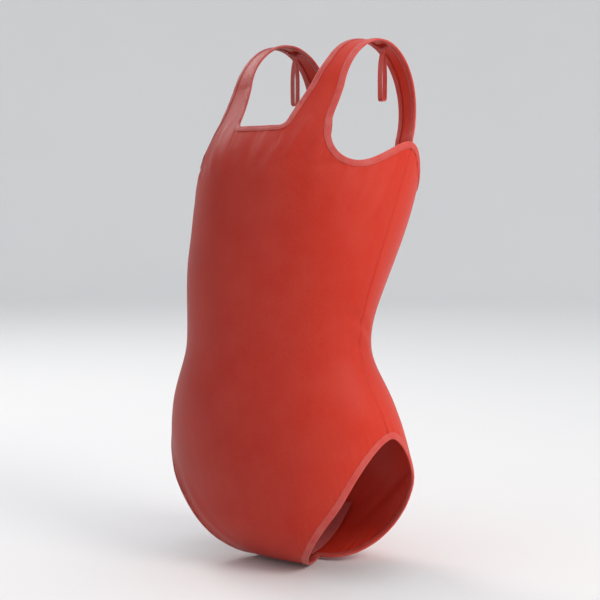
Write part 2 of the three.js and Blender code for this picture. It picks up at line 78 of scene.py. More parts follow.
# ---- The torso that the leotard keeps the shape of, in millimetres and radians ------------
CROTCH_DROP, SHOULDER_RISE = 245.0, 350.0
SEAT_ROUND, YOKE_ROUND = 82.0, 80.0
CHEST_HALF, WAIST_HALF, HIP_HALF = 138.0, 117.0, 157.0
CHEST_DEPTH, WAIST_DEPTH, HIP_DEPTH = 96.0, 73.0, 90.0
BACK_FULLNESS = 1.06
# A swelling's fullness, its distance from the centre line and its height, and its reach each way.
BUST, SEAT = (9.0, 58, 172, 34, 36), (17.0, 64, -132, 46, 54)
LEAN_BACK, PELVIS_TILT, ARCH_LENGTH = 21 * DEGREE, 12 * DEGREE, 95.0
SEAT_START = -(CROTCH_DROP - SEAT_ROUND)
YOKE_START = SHOULDER_RISE - YOKE_ROUND
CROTCH_CLIMB = SEAT_START - SEAT_ROUND * QUARTER
SHOULDER_CLIMB = YOKE_START + YOKE_ROUND * QUARTER

# ---- The cut of the openings ---------------------------------------------------------------
FRONT_NECK, FRONT_NECK_HALF, FRONT_NECK_CORNER = 215.0, 35.0, 8.0
BACK_NECK, BACK_NECK_HALF, BACK_NECK_TOP = 118.0, 50.0, 205.0
STRAP_WIDTH, STRAP_CENTRE, STRAP_BASE_OUTER, STRAP_TAPER_END = 28.0, 64.0, 80.0, 310.0
UNDERARM, LEG_TOP, CROTCH_HALF = 230.0, -92.0, 31.0
SEAM_GAP, BINDING_WIDTH = 0.3, 6.5
STRAP_INNER = STRAP_CENTRE - STRAP_WIDTH / 2
STRAP_OUTER = STRAP_CENTRE + STRAP_WIDTH / 2
CROTCH_TURN = math.asin(CROTCH_HALF / CHEST_HALF)


def mix(a, b, t):
    """The value a share t of the way from a to b."""
    return a + (b - a) * t


def ease(t):
    """A smooth step from 0 to 1."""
    t = np.clip(t, 0, 1)
    return t * t * (3 - 2 * t)


def hill(distance, reach):
    """A smooth bump that is 1 at no distance."""
    return np.exp(-((distance / reach) ** 2) / 2)


def unit(vectors):
    """The vectors at length one."""
    return vectors / np.maximum(np.linalg.norm(vectors, axis=-1, keepdims=True), 1e-12)


def lengths(points):
    """The length along a line of places, at each of them."""
    return np.concatenate([[0], np.cumsum(np.linalg.norm(np.diff(points, axis=0), axis=1))])


def mirrored(columns):
    """Columns from the centre line to one side, with their mirror images before them."""
    turns, climbs = columns
    return np.concatenate([-turns[:0:-1], turns]), np.concatenate([climbs[:0:-1], climbs])


def nodes_of(turns, climbs):
    """Turns and climbs as one list of nodes."""
    return np.stack([turns, climbs], -1).reshape(-1, 2)


def smooth_curve(knots):
    """A smooth curve through (height, value) pairs."""
    heights, values = np.array(knots, float).T
    last = len(heights) - 1
    here = np.arange(last + 1)
    before, after = np.maximum(here - 1, 0), np.minimum(here + 1, last)
    slopes = (values[after] - values[before]) / (heights[after] - heights[before])

    def value_at(height):
        h = np.clip(height, heights[0], heights[-1])
        i = np.clip(np.searchsorted(heights, h, side="right") - 1, 0, last - 1)
        span = heights[i + 1] - heights[i]
        t = (h - heights[i]) / span
        bend0, bend1 = slopes[i] * span, slopes[i + 1] * span
        rise = values[i + 1] - values[i]
        cubic = (3 * rise - 2 * bend0 - bend1) * t**2 + (bend0 + bend1 - 2 * rise) * t**3
        return values[i] + bend0 * t + cubic

    return value_at


half_width_at = smooth_curve([
    (-CROTCH_DROP, HIP_HALF * 0.8), (SEAT_START, HIP_HALF * 0.99), (-140, HIP_HALF),
    (-70, mix(WAIST_HALF, HIP_HALF, 0.66)), (0, WAIST_HALF), (90, mix(WAIST_HALF, CHEST_HALF, 0.4)),
    (180, CHEST_HALF * 0.97), (YOKE_START, CHEST_HALF),
])
depth_at = smooth_curve([
    (SEAT_START, HIP_DEPTH * 0.97), (-110, HIP_DEPTH), (-50, mix(WAIST_DEPTH, HIP_DEPTH, 0.55)),
    (0, WAIST_DEPTH), (80, mix(WAIST_DEPTH, CHEST_DEPTH, 0.45)), (170, CHEST_DEPTH),
    (YOKE_START, CHEST_DEPTH * 0.84),
])


# Widths at the crotch are given at chest scale.
CROTCH_SCALE = CHEST_HALF / float(half_width_at(-CROTCH_DROP))


def skin(turn, climb):
    """The cloth's inner face. turn goes round the body from the centre front, climb goes up it
    from the waist."""
    turn, climb = np.broadcast_arrays(np.asarray(turn, float), np.asarray(climb, float))
    under = np.clip((SEAT_START - climb) / SEAT_ROUND, 0, None)
    over = np.clip((climb - YOKE_START) / YOKE_ROUND, 0, None)
    height = np.clip(climb, SEAT_START, YOKE_START)
    height = height - SEAT_ROUND * np.sin(under) + YOKE_ROUND * np.sin(over)
    share = np.cos(under) * np.cos(over)
    x = half_width_at(height) * np.sin(turn)
    facing, side = np.cos(turn), np.abs(x)
    depth = depth_at(height) * np.where(facing < 0, BACK_FULLNESS, 1)
    bust, seat = (full * hill(side - aside, reach) * hill(height - level, reach_up)
                  for full, aside, level, reach, reach_up in (BUST, SEAT))
    swell = np.where(facing > 0, bust, seat) * facing**2
    y = -np.sign(facing) * (depth * np.abs(facing) + swell) * share
    radius = ARCH_LENGTH / np.where(height < 0, PELVIS_TILT, LEAN_BACK)
    along = np.minimum(np.abs(height), ARCH_LENGTH)
    beyond = np.abs(height) - along
    sign = np.sign(height)
    tilt = along / radius
    spine_y = radius * (1 - np.cos(tilt)) + beyond * np.sin(tilt)
    spine_z = sign * (radius * np.sin(tilt) + beyond * np.cos(tilt))
    tilt = sign * tilt
    return np.stack([x, spine_y + y * np.cos(tilt), spine_z - y * np.sin(tilt)], -1)


def tangents(turn, climb):
    """The skin's two tangents and its outward normal."""
    d_turn, d_climb = 1e-3, 0.1
    around = (skin(turn + d_turn, climb) - skin(turn - d_turn, climb)) / (2 * d_turn)
    up = (skin(turn, climb + d_climb) - skin(turn, climb - d_climb)) / (2 * d_climb)
    return around, up, unit(np.cross(around, up))


# ---- Folds of the stretched cloth ----------------------------------------------------------
FOLD_RADIUS = 120.0  # turns a body angle into millimetres round the body
FOLD_STRENGTH, UNEVENNESS = 1.45, 0.16
FOLDS_TOP, FOLDS_FOOT = 340, -286  # the folds have died out at these climbs
# Each fold: where it is measured from, start and end (mm round, mm up), height, width, bow.
FOLDS = [
    ("back", (-92, 44), (66, 52), -1.32, 6.0, 5),
    ("back", (-58, 29), (98, 22), -1.55, 6.5, -5),
    ("back", (-104, 4), (46, 11), -1.44, 6.0, 4),
    ("back", (-34, -10), (92, -17), -1.09, 6.5, -4),
    ("back", (-72, 68), (34, 74), -0.80, 7.0, 5),
    ("back", (24, 84), (96, 66), -0.63, 6.0, -3),
    ("back", (-98, -28), (-20, -34), -0.63, 7.0, 4),
    ("back", (24, -262), (128, -128), 1.05, 8.0, 12),
    ("back", (-24, -260), (-122, -120), 1.05, 8.0, -12),
    ("back", (18, -236), (92, -150), 0.79, 8.0, 9),
    ("back", (-16, -240), (-98, -156), 0.70, 8.0, -9),
    ("back", (52, 196), (96, 150), 0.88, 7.0, 4),
    ("back", (-54, 198), (-92, 146), 0.88, 7.0, -4),
    ("front", (30, -266), (150, -124), 1.05, 7.0, -9),
    ("front", (-30, -264), (-146, -128), 0.96, 7.0, 9),
    ("front", (24, -246), (128, -104), 0.88, 8.0, -7),
    ("front", (-22, -248), (-122, -98), 0.79, 8.0, 7),
    ("front", (14, -232), (74, -128), 0.61, 8.0, -5),
    ("front", (-16, -226), (-80, -132), 0.61, 8.0, 5),
    ("front", (52, 236), (46, 158), 0.79, 6.0, 3),
    ("front", (-53, 232), (-45, 150), 0.79, 6.0, -3),
    ("front", (71, 226), (78, 160), 0.70, 6.0, -2),
    ("front", (-70, 230), (-80, 168), 0.70, 6.0, 2),
    ("front", (112, 184), (64, 166), -0.96, 6.0, -3),
    ("front", (-114, 184), (-66, 162), -0.96, 6.0, 3),
    ("front", (128, 192), (112, 124), -0.88, 7.0, 4),
    ("front", (-130, 190), (-108, 130), -0.88, 7.0, -4),
    ("front", (168, 214), (150, 118), 0.88, 8.0, 5),
    ("front", (-170, 212), (-152, 124), 0.88, 8.0, -5),
    ("front", (30, 212), (8, 148), -0.61, 8.0, 2),
    ("front", (-31, 212), (-10, 142), -0.61, 8.0, -2),
    ("front", (140, 40), (226, 16), -1.22, 6.0, 3),
    ("front", (-136, 34), (-230, 20), -1.22, 6.0, -3),
    ("front", (152, 14), (214, -2), -0.88, 6.0, 2),
    ("front", (-150, 58), (-216, 44), -0.88, 6.0, -2),
]


def folds(turn, climb):
    """How far the cloth stands off its even shape at each place, in millimetres."""
    turn, climb = np.broadcast_arrays(np.asarray(turn, float), np.asarray(climb, float))
    turn = (turn + math.pi) % (2 * math.pi) - math.pi
    front = turn * FOLD_RADIUS
    back = np.where(turn < 0, -1, 1) * (math.pi - np.abs(turn)) * FOLD_RADIUS
    lift = UNEVENNESS * np.sin(7 * turn + 1.3) * np.sin(climb / 23 + 0.7)
    for origin, start, end, height, width, bow in FOLDS:
        u = front if origin == "front" else back
        reach = np.subtract(end, start)
        length = math.hypot(*reach)
        along = ((u - start[0]) * reach[0] + (climb - start[1]) * reach[1]) / length**2
        across = ((climb - start[1]) * reach[0] - (u - start[0]) * reach[1]) / length
        across = across - bow * 4 * along * (1 - along)
        near = (across / width) ** 2
        fade = ease(along / 0.3) * ease((1 - along) / 0.3)
        lift = lift + height * fade * (1 - 0.55 * near) * np.exp(-near / 2)
    calm = ease((FOLDS_TOP - climb) / 40) * ease((climb - FOLDS_FOOT) / 20)
    return FOLD_STRENGTH * lift * calm


def off(turn, climb, distance):
    """A place at a distance off the skin, outwards if positive, with the folds."""
    lift = np.asarray(distance, float) + folds(turn, climb)
    return skin(turn, climb) + tangents(turn, climb)[2] * lift[..., None]


def front_turn(across):
    """The turn of a place whose distance from the centre line is given at chest scale."""
    return np.arcsin(np.clip(np.asarray(across, float) / CHEST_HALF, -1, 1))


def back_turn(across):
    """The same distance, on the back."""
    return math.pi - front_turn(across)


# ---- The outline of the two panels ---------------------------------------------------------
# scoop and low are the armhole's lowest place, rise its height, base where the strap starts.
FRONT = {"front": True, "turn_at": front_turn, "scoop": 53 * DEGREE, "low": 188.0, "rise": 56.0,
         "neck_half": FRONT_NECK_HALF, "neck_top": FRONT_NECK,
         "base": FRONT_NECK + FRONT_NECK_CORNER}
BACK = {"front": False, "turn_at": back_turn, "scoop": 124 * DEGREE, "low": 203.0, "rise": 54.0,
        "neck_half": BACK_NECK_HALF, "neck_top": BACK_NECK_TOP, "base": BACK_NECK_TOP}


def strap_inner_at(form, climb):
    """How far a strap's inner edge is from the centre line."""
    share = ease((climb - form["neck_top"]) / (STRAP_TAPER_END - form["neck_top"]))
    return mix(form["neck_half"], STRAP_INNER, share)


def strap_outer_at(form, climb):
    """How far a strap's outer edge is from the centre line."""
    base = form["low"] + form["rise"]
    return mix(STRAP_BASE_OUTER, STRAP_OUTER, ease((climb - base) / (STRAP_TAPER_END - base)))


def leg_edge(form, turn):
    """The climb of the panel's lower edge."""
    measured = turn if form["front"] else math.pi - turn
    t = np.clip((measured - CROTCH_TURN) / (QUARTER - CROTCH_TURN), 0, 1)
    rise = np.sin(QUARTER * t**0.9) if form["front"] else np.sin(QUARTER * t**1.1) ** 2
    return mix(CROTCH_CLIMB, LEG_TOP, rise)


def neck_edge(form, t):
    """Turn and climb along the neckline, from the centre (0) to the strap (1)."""
    if form["front"]:
        flat = FRONT_NECK_HALF - FRONT_NECK_CORNER
        along = t * (flat + FRONT_NECK_CORNER * QUARTER)
        angle = np.clip((along - flat) / FRONT_NECK_CORNER, 0, QUARTER)
        across = np.minimum(along, flat) + FRONT_NECK_CORNER * np.sin(angle)
        return form["turn_at"](across), FRONT_NECK + FRONT_NECK_CORNER * (1 - np.cos(angle))
    angle = t * QUARTER
    across = BACK_NECK_HALF * np.sin(angle)
    return form["turn_at"](across), mix(BACK_NECK_TOP, BACK_NECK, np.cos(angle))


def strap_base(form, t):
    """Turn and climb along the line where a strap starts."""
    top = mix(form["base"], form["low"] + form["rise"], t)
    return form["turn_at"](mix(strap_inner_at(form, top), strap_outer_at(form, top), t)), top


def scoop_edge(form, t):
    """Turn and climb along the armhole, from the strap (0) to the scoop's low point (1)."""
    angle = (1 - t) * QUARTER
    low_across = CHEST_HALF * math.sin(form["scoop"])
    across = mix(low_across, STRAP_BASE_OUTER, np.sin(angle))
    return form["turn_at"](across), form["low"] + form["rise"] * (1 - np.cos(angle))


def underarm_edge(form, t):
    """Turn and climb along the armhole, from the scoop's low point (0) to the side seam (1)."""
    seam = QUARTER + math.copysign(SEAM_GAP / 2 / CHEST_HALF, form["scoop"] - QUARTER)
    return mix(form["scoop"], seam, t), mix(form["low"], UNDERARM, (1 - np.cos(math.pi * t)) / 2)


def strap_edge(form, share, climb):
    """The turn of a share across the strap at a climb."""
    return form["turn_at"](mix(strap_inner_at(form, climb), strap_outer_at(form, climb), share))


def even_steps(form, edge, step, pin=None):
    """Shares along an edge whose steps are even, measured on the body. One may be pinned."""
    t = np.linspace(0, 1, 600)
    turn, top = edge(form, t)
    steps = [np.linalg.norm(np.diff(skin(turn, level), axis=0), axis=1)
             for level in (top, leg_edge(form, turn), np.zeros_like(turn))]
    along = np.concatenate([[0], np.cumsum(np.max(steps, axis=0))])
    count = max(1, math.ceil(along[-1] / step))
    shares = np.interp(np.linspace(0, along[-1], count + 1), along, t)
    if pin is not None:
        shares[1 + np.argmin(np.abs(shares[1:-1] - pin))] = pin
    return shares


SEAM_STEPS = np.array([0, 0.45, 0.9, 1.4, 2.0, 2.8, 4.0])  # distances from a seam, in millimetres


def panel_nodes(form, step, trunk_rows):
    """The turn and climb of a panel's nodes, and its quads: the trunk and the two straps."""
    # One column is pinned to the crotch seam's end, where the leg opening starts.
    flat = FRONT_NECK_HALF - FRONT_NECK_CORNER
    pin = math.asin(CROTCH_HALF / BACK_NECK_HALF) / QUARTER
    if form["front"]:
        pin = (flat + FRONT_NECK_CORNER * math.pi / 6) / (flat + FRONT_NECK_CORNER * QUARTER)
    shares = even_steps(form, strap_base, step)
    parts = [
        neck_edge(form, even_steps(form, neck_edge, step, pin)[:-1]),
        strap_base(form, shares),
        scoop_edge(form, even_steps(form, scoop_edge, step)[1:]),
        underarm_edge(form, even_steps(form, underarm_edge, step)[1:]),
    ]
    first = len(parts[0][0])
    last = first + len(shares)
    turn = np.concatenate([part[0] for part in parts])
    side = np.sign(turn[-1] - turn[0])
    clear = (turn[-1] - turn) * side * depth_at(0.0) > SEAM_STEPS[-1] + 1
    fine = turn[-1] - side * SEAM_STEPS[::-1] / float(depth_at(0.0))
    scoop_to_seam = (fine - form["scoop"]) / (turn[-1] - form["scoop"])
    top = np.concatenate([np.concatenate([part[1] for part in parts])[clear],
                          underarm_edge(form, scoop_to_seam)[1]])
    turn = np.concatenate([turn[clear], fine])
    # The columns are even at the leg and draw together only near the edges at the top.
    pinned = int(np.argmin(np.abs(np.sin(turn) - math.sin(CROTCH_TURN))))
    free = int(np.count_nonzero(clear)) - 1
    even = turn.copy()
    even[:pinned + 1] = np.linspace(turn[0], turn[pinned], pinned + 1)
    even[pinned:free + 1] = np.linspace(turn[pinned], turn[free], free + 1 - pinned)
    low = np.maximum(leg_edge(form, even), CROTCH_CLIMB + SEAM_GAP / 2)
    rise = np.linspace(0, 1, trunk_rows + 1)[None, 1:]
    seam = low[:, None] + SEAM_STEPS[None]
    climb = np.concatenate([seam, mix(seam[:, -1:], top[:, None], rise)], 1)
    drawn = np.concatenate([np.zeros(len(SEAM_STEPS)), ease((rise[0] - 0.6) / 0.4)])
    turns = mix(even[:, None], turn[:, None], drawn[None])
    turns, climbs = mirrored((turns, climb))
    columns, rows = turns.shape
    nodes = [nodes_of(turns, climbs)]
    numbers = np.arange(columns * rows).reshape(columns, rows)
    ladders = [numbers]
    count = columns * rows
    # Each strap grows from the trunk's last row, up to the shoulder seam.
    end = SHOULDER_CLIMB - SEAM_GAP / 2
    strap_rows = math.ceil((end - form["base"]) / step)
    share = np.linspace(0, 1, strap_rows + 1)[None, 1:]
    pick = np.arange(first, last)
    body = mix(top[pick][:, None], end - SEAM_STEPS[-1], share)
    climbs = np.concatenate([body, np.repeat(end - SEAM_STEPS[None, -2::-1], len(pick), 0)], 1)
    for sign in (1, -1):
        base = numbers[len(turn) - 1 + sign * pick, -1]
        turns = sign * strap_edge(form, shares[:, None], climbs)
        nodes.append(nodes_of(turns, climbs))
        new = count + np.arange(climbs.size).reshape(climbs.shape)
        count += climbs.size
        ladder = np.concatenate([base[:, None], new], 1)
        ladders.append(ladder if sign == 1 else ladder[::-1])
    quads = [np.stack([n[:-1, :-1], n[1:, :-1], n[1:, 1:], n[:-1, 1:]], -1).reshape(-1, 4)
             for n in ladders]
    return np.concatenate(nodes), np.concatenate(quads)


# ---- Meshes --------------------------------------------------------------------------------
class Shape:
    """Points, faces and cloth coordinates gathered for one mesh, in millimetres."""

    def __init__(self):
        self.points, self.faces, self.corners, self.count = [], [], [], 0

    def add(self, points, groups):
        """Adds one closed part. groups holds (faces, cloth coordinates of the faces' corners)."""
        points = points.reshape(-1, 3)
        volume = 0
        for faces, _ in groups:
            for k in range(1, faces.shape[1] - 1):
                a, b, c = (points[faces[:, i]] for i in (0, k, k + 1))
                volume += np.einsum("ij,ij->", a, np.cross(b, c))
        for faces, corners in groups:
            if volume < 0:
                faces, corners = faces[:, ::-1], corners[:, ::-1]
            self.faces.append(faces + self.count)
            self.corners.append(corners.reshape(-1, 2))
        self.points.append(points)
        self.count += len(points)
        return self

    def build(self, name, material, body, slot, replaces=(), sharp=55):
        """Makes the object, with its material, its body and the nodes it stands for; slot is not
        used.
        """
        mesh = bpy.data.meshes.new(name)
        points = np.concatenate(self.points) * MM
        loops = np.concatenate([faces.ravel() for faces in self.faces])
        sizes = np.concatenate([np.full(len(faces), faces.shape[1]) for faces in self.faces])
        mesh.vertices.add(len(points))
        mesh.vertices.foreach_set("co", points.astype(np.float32).ravel())
        mesh.loops.add(len(loops))
        mesh.loops.foreach_set("vertex_index", loops.astype(np.int32))
        mesh.polygons.add(len(sizes))
        mesh.polygons.foreach_set("loop_start", (np.cumsum(sizes) - sizes).astype(np.int32))
        mesh.update(calc_edges=True)
        mesh.polygons.foreach_set("use_smooth", np.ones(len(sizes), bool))
        layer = mesh.uv_layers.new(name="cloth")
        corners = (np.concatenate(self.corners) * MM).astype(np.float32)
        layer.uv.foreach_set("vector", corners.ravel())
        mesh.set_sharp_from_angle(angle=math.radians(sharp))
        mesh.materials.append(material)
        piece = bpy.data.objects.new(name, mesh)
        bpy.context.scene.collection.objects.link(piece)
        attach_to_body(piece, body)
        if replaces:
            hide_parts(*replaces)
        return piece


def grid(rows, columns, closed_rows=False, closed_columns=False, u=None, v=None):
    """The quads of a grid of points, and their corners' cloth coordinates."""
    i, k = np.meshgrid(np.arange(rows if closed_rows else rows - 1),
                       np.arange(columns if closed_columns else columns - 1), indexing="ij")
    i2, k2 = (i + 1) % rows, (k + 1) % columns
    faces = np.stack([i * columns + k, i * columns + k2, i2 * columns + k2, i2 * columns + k], -1)
    u = np.arange(rows + 1.0) if u is None else u
    v = np.arange(columns + 1.0) if v is None else v
    corners = np.stack([np.stack([u[a], v[b]], -1) for a, b in
                        ((i, k), (i, k + 1), (i + 1, k + 1), (i + 1, k))], -2)
    return faces.reshape(-1, 4), corners.reshape(-1, 4, 2)


def closed_cloth(points, quads, flat, rim):
    """The faces of a cloth: its outer side, its inner side, and the strip that closes its edges.
    points holds the outer places and then the inner ones."""
    count = len(flat)
    starts, ends = quads.ravel(), np.roll(quads, -1, 1).ravel()
    edge = ~np.isin(starts * count + ends, ends * count + starts)
    a, b = starts[edge], ends[edge]
    strip = np.stack([b, a, a + count, b + count], -1)
    strip_flat = np.stack([flat[b], flat[a], flat[a] + rim, flat[b] + rim], 1)
    inner = quads[:, ::-1]
    return points, [(quads, flat[quads]), (inner + count, flat[inner]), (strip, strip_flat)]


def cloth(nodes, quads, inner, outer, place=off):
    """A cloth over quads of nodes. inner and outer are its two sides' distances off the skin."""
    turn, climb = nodes.T
    points = np.concatenate([place(turn, climb, outer), place(turn, climb, inner)])
    return closed_cloth(points, quads, np.stack([turn * FOLD_RADIUS, climb], -1), 0.5)


def ribbon_grid(points, normals, thickness):
    """A cloth over a grid of points, with half its thickness to either side of them."""
    rows, columns = points.shape[:2]
    flat = nodes_of(*np.meshgrid(lengths(points[:, 0]), lengths(points[0]), indexing="ij"))
    half = np.broadcast_to(thickness / 2, (rows, columns))[..., None]
    sides = np.concatenate([points + normals * half, points - normals * half])
    return closed_cloth(sides, grid(rows, columns)[0], flat, 0.2)


def swept(centres, normals, radius, sides=6, closed=False):
    """Threads: tubes along the last-but-one axis of centres, each with closed ends."""
    if centres.ndim == 2:
        centres, normals = centres[None], np.broadcast_to(normals, centres.shape)[None]
    runs, rings = centres.shape[:2]
    ahead = unit(np.roll(centres, -1, 1) - np.roll(centres, 1, 1) if closed
                 else np.gradient(centres, axis=1))
    side = unit(np.cross(ahead, normals))
    up = np.cross(side, ahead)
    angle = np.arange(sides) * 2 * math.pi / sides
    ring = np.cos(angle)[:, None] * side[..., None, :] + np.sin(angle)[:, None] * up[..., None, :]
    points = centres[..., None, :] + radius * ring
    along = np.linalg.norm(np.diff(centres, axis=1), axis=-1).mean() * np.arange(rings + 1)
    around = np.arange(sides + 1) * 2 * math.pi * radius / sides
    faces, corners = grid(rings, sides, closed, True, u=along, v=around)
    step = np.arange(runs)[:, None] * rings * sides
    groups = [((faces[None] + step[..., None]).reshape(-1, 4), np.tile(corners, (runs, 1, 1)))]
    if not closed:
        ring = np.arange(sides)[None]
        caps = np.concatenate([ring[:, ::-1] + step, ring + (rings - 1) * sides + step])
        groups.append((caps, np.zeros((*caps.shape, 2))))
    return points, groups


# ---- Lines along the edges of the cloth ----------------------------------------------------
def edge_path(name, spacing):
    """The turn and climb of evenly spaced places along a closed edge of the cloth."""
    def run(form, edge):
        return edge(form, np.linspace(0, 1, 700))

    def strap(form, share):
        start = form["base"] if share == 0 else form["low"] + form["rise"]
        climb = np.linspace(start, SHOULDER_CLIMB, 500)
        return strap_edge(form, share, climb), climb

    def lower(form):
        turn = mix(CROTCH_TURN, QUARTER, np.linspace(0, 1, 1500) ** 1.5)
        turn = turn if form["front"] else math.pi - turn
        return turn, leg_edge(form, turn)

    def backwards(line):
        return [part[::-1] for part in line]

    if name == "neck":
        halves = [[run(FRONT, neck_edge), strap(FRONT, 0)],
                  [backwards(strap(BACK, 0)), backwards(run(BACK, neck_edge))]]
    elif name == "armhole":
        halves = [[backwards(run(FRONT, underarm_edge)), backwards(run(FRONT, scoop_edge)),
                   strap(FRONT, 1)],
                  [backwards(strap(BACK, 1)), run(BACK, scoop_edge), run(BACK, underarm_edge)]]
    else:
        halves = [[lower(FRONT)], [backwards(lower(BACK))]]
    turns, climbs = [], []
    for half in halves:
        turn, climb = (np.concatenate([part[k] for part in half]) for k in (0, 1))
        along = lengths(skin(turn, climb))
        keep = np.concatenate([[True], np.diff(along) > 1e-7])
        at = np.linspace(0, along[-1], round(along[-1] / spacing) + 1)[:-1]
        turns.append(np.interp(at, along[keep], turn[keep]))
        climbs.append(np.interp(at, along[keep], climb[keep]))
    turn, climb = np.concatenate(turns), np.concatenate(climbs)
    if name == "neck":
        turn = np.concatenate([turn, [back_turn(0.0)], -turn[:0:-1]])
        climb = np.concatenate([climb, [BACK_NECK], climb[:0:-1]])
    return turn, climb


class Edge:
    """Evenly spaced stations along a closed edge, each with its direction into the cloth."""

    def __init__(self, name, sign, spacing):
        turn, climb = edge_path(name, spacing)
        self.turn, self.climb = sign * turn, climb
        points = skin(self.turn, self.climb)
        ahead = np.roll(points, -1, 0) - np.roll(points, 1, 0)
        around, up, normal = tangents(self.turn, self.climb)
        into = unit(np.cross(normal, ahead)) * (-sign if name == "neck" else sign)
        rr, uu, ru = ((a * b).sum(-1) for a, b in ((around, around), (up, up), (around, up)))
        ri, ui = (around * into).sum(-1), (up * into).sum(-1)
        det = rr * uu - ru * ru
        self.d_turn, self.d_climb = (ri * uu - ui * ru) / det, (ui * rr - ri * ru) / det
        steps = np.linalg.norm(np.roll(points, -1, 0) - points, axis=1)
        self.length = float(steps.sum())
        self.along = np.concatenate([[0], np.cumsum(steps)])

    def place(self, into, out):
        """Places at a distance into the cloth and off the skin, at each station."""
        into = np.asarray(into, float)
        turn = self.turn[:, None] + self.d_turn[:, None] * into
        climb = self.climb[:, None] + self.d_climb[:, None] * into
        return off(turn, climb, np.broadcast_to(out, turn.shape))

    def line(self, into, out):
        """One line along the edge, closed, with the cloth's normals along it."""
        points = self.place(np.array([into]), out)[:, 0]
        normals = tangents(self.turn, self.climb)[2]
        return points, normals

    def sweep(self, section, ripple=None):
        """A bar of a section of (into, out) corners, swept once round the edge."""
        section = np.array(section, float)
        out = np.broadcast_to(section[:, 1], (len(self.turn), len(section)))
        if ripple is not None:
            out = out + ripple(self.along[:-1, None], section[None])
        points = self.place(section[:, 0], out)
        v = lengths(np.concatenate([section, section[:1]]))
        faces, corners = grid(len(self.turn), len(section), True, True, u=self.along, v=v)
        return points, [(faces, corners)]


def at_lengths(at, along, values):
    """Rows of values, read between their stations at given lengths."""
    return np.stack([np.interp(at, along, column) for column in values.T], -1)


def sampled(points, normals, at):
    """Places and normals at lengths along a closed line."""
    points, normals = (np.concatenate([values, values[:1]]) for values in (points, normals))
    along = lengths(points)
    at = at % along[-1]
    return at_lengths(at, along, points), unit(at_lengths(at, along, normals))


def line_length(points):
    """The length of a closed line."""
    return float(np.linalg.norm(np.roll(points, -1, 0) - points, axis=1).sum())


STITCH_ARCH = np.sin(math.pi * np.linspace(0, 1, 5))  # how high a stitch stands along its length


def stitch_places(count, share):
    """Five places along each of a row of stitches, which fill a share of the row. A stitch and its
    gap have a length of one."""
    along = np.linspace(0, 1, len(STITCH_ARCH)) - 0.5
    return np.arange(count)[:, None] + 0.5 + along[None] * share


def running_stitches(points, normals, pitch, share, radius, arch, sink):
    """Separate raised stitches along a closed line, each a short bent thread."""
    whole = line_length(points)
    count = round(whole / pitch)
    place, normal = sampled(points, normals, stitch_places(count, share) * (whole / count))
    lift = arch * STITCH_ARCH - sink * (1 - STITCH_ARCH)
    return swept(place + normal * lift[None, :, None], normal, radius, 6)


def zigzag(first, second, normals, pitch, radius, arch):
    """One thread that crosses to and fro between two closed lines."""
    whole = line_length(first)
    count = round(whole / pitch)
    at = np.arange(count) * (whole / count)
    a, normal_a = sampled(first, normals, at)
    b, normal_b = sampled(second, normals, (at + 0.5 * pitch) * line_length(second) / whole)
    there, again = (a + b) / 2 + normal_a * arch, (b + np.roll(a, -1, 0)) / 2 + normal_b * arch
    path = np.stack([a, there, b, again], 1).reshape(-1, 3)
    normal = np.stack([normal_a, normal_a, normal_b, normal_b], 1).reshape(-1, 3)
    return swept(path, normal, radius, 5, closed=True)


# ---- Shared shader effects -----------------------------------------------------------------
class Wiring:
    """A node tree, and short ways to add nodes to it."""

    def __init__(self, tree):
        self.tree = tree

    def fill(self, made, values):
        """Links or sets a node's inputs, and returns its outputs. A key names an input, or is i
        and its number."""
        for key, value in values.items():
            socket = made.inputs[int(key[1:]) if key[0] == "i" and key[1:].isdigit() else key]
            if isinstance(value, bpy.types.NodeSocket):
                self.tree.links.new(value, socket)
            else:
                socket.default_value = value
        return made.outputs

    def node(self, kind, settings=None, **values):
        """The outputs of a new node. settings are its properties and values its inputs."""
        made = self.tree.nodes.new("ShaderNode" + kind)
        for key, value in (settings or {}).items():
            setattr(made, key, value)
        return self.fill(made, values)

    def maths(self, operation, *values):
        """The output of a Math node."""
        given = {f"i{k}": value for k, value in enumerate(values)}
        return self.node("Math", {"operation": operation}, **given)[0]

    def blended(self, share, first, second):
        """A colour between two colours."""
        return self.node("Mix", {"data_type": "RGBA"}, i0=share, i6=first, i7=second)[2]

    def ranged(self, value, start, end):
        """A value's share of the way from start to end."""
        return self.node("MapRange", i0=value, i1=start, i2=end)[0]


class Effect(Wiring):
    """A shared node group as it is made. Its inputs are (name, kind, default) and its outputs
    (name, kind)."""

    def __init__(self, name, inputs, outputs):
        super().__init__(bpy.data.node_groups.new(name, "ShaderNodeTree"))
        for label, kind, default in inputs:
            socket = self.tree.interface.new_socket(name=label, in_out="INPUT",
                                                    socket_type="NodeSocket" + kind)
            if default is not None:
                socket.default_value = default
        for label, kind in outputs:
            self.tree.interface.new_socket(name=label, in_out="OUTPUT",
                                           socket_type="NodeSocket" + kind)
        self.given = self.tree.nodes.new("NodeGroupInput").outputs
        self.out = self.tree.nodes.new("NodeGroupOutput").inputs

    def give(self, **values):
        """Links the group's outputs, and returns the group."""
        for key, value in values.items():
            self.tree.links.new(value, self.out[key])
        return self.tree


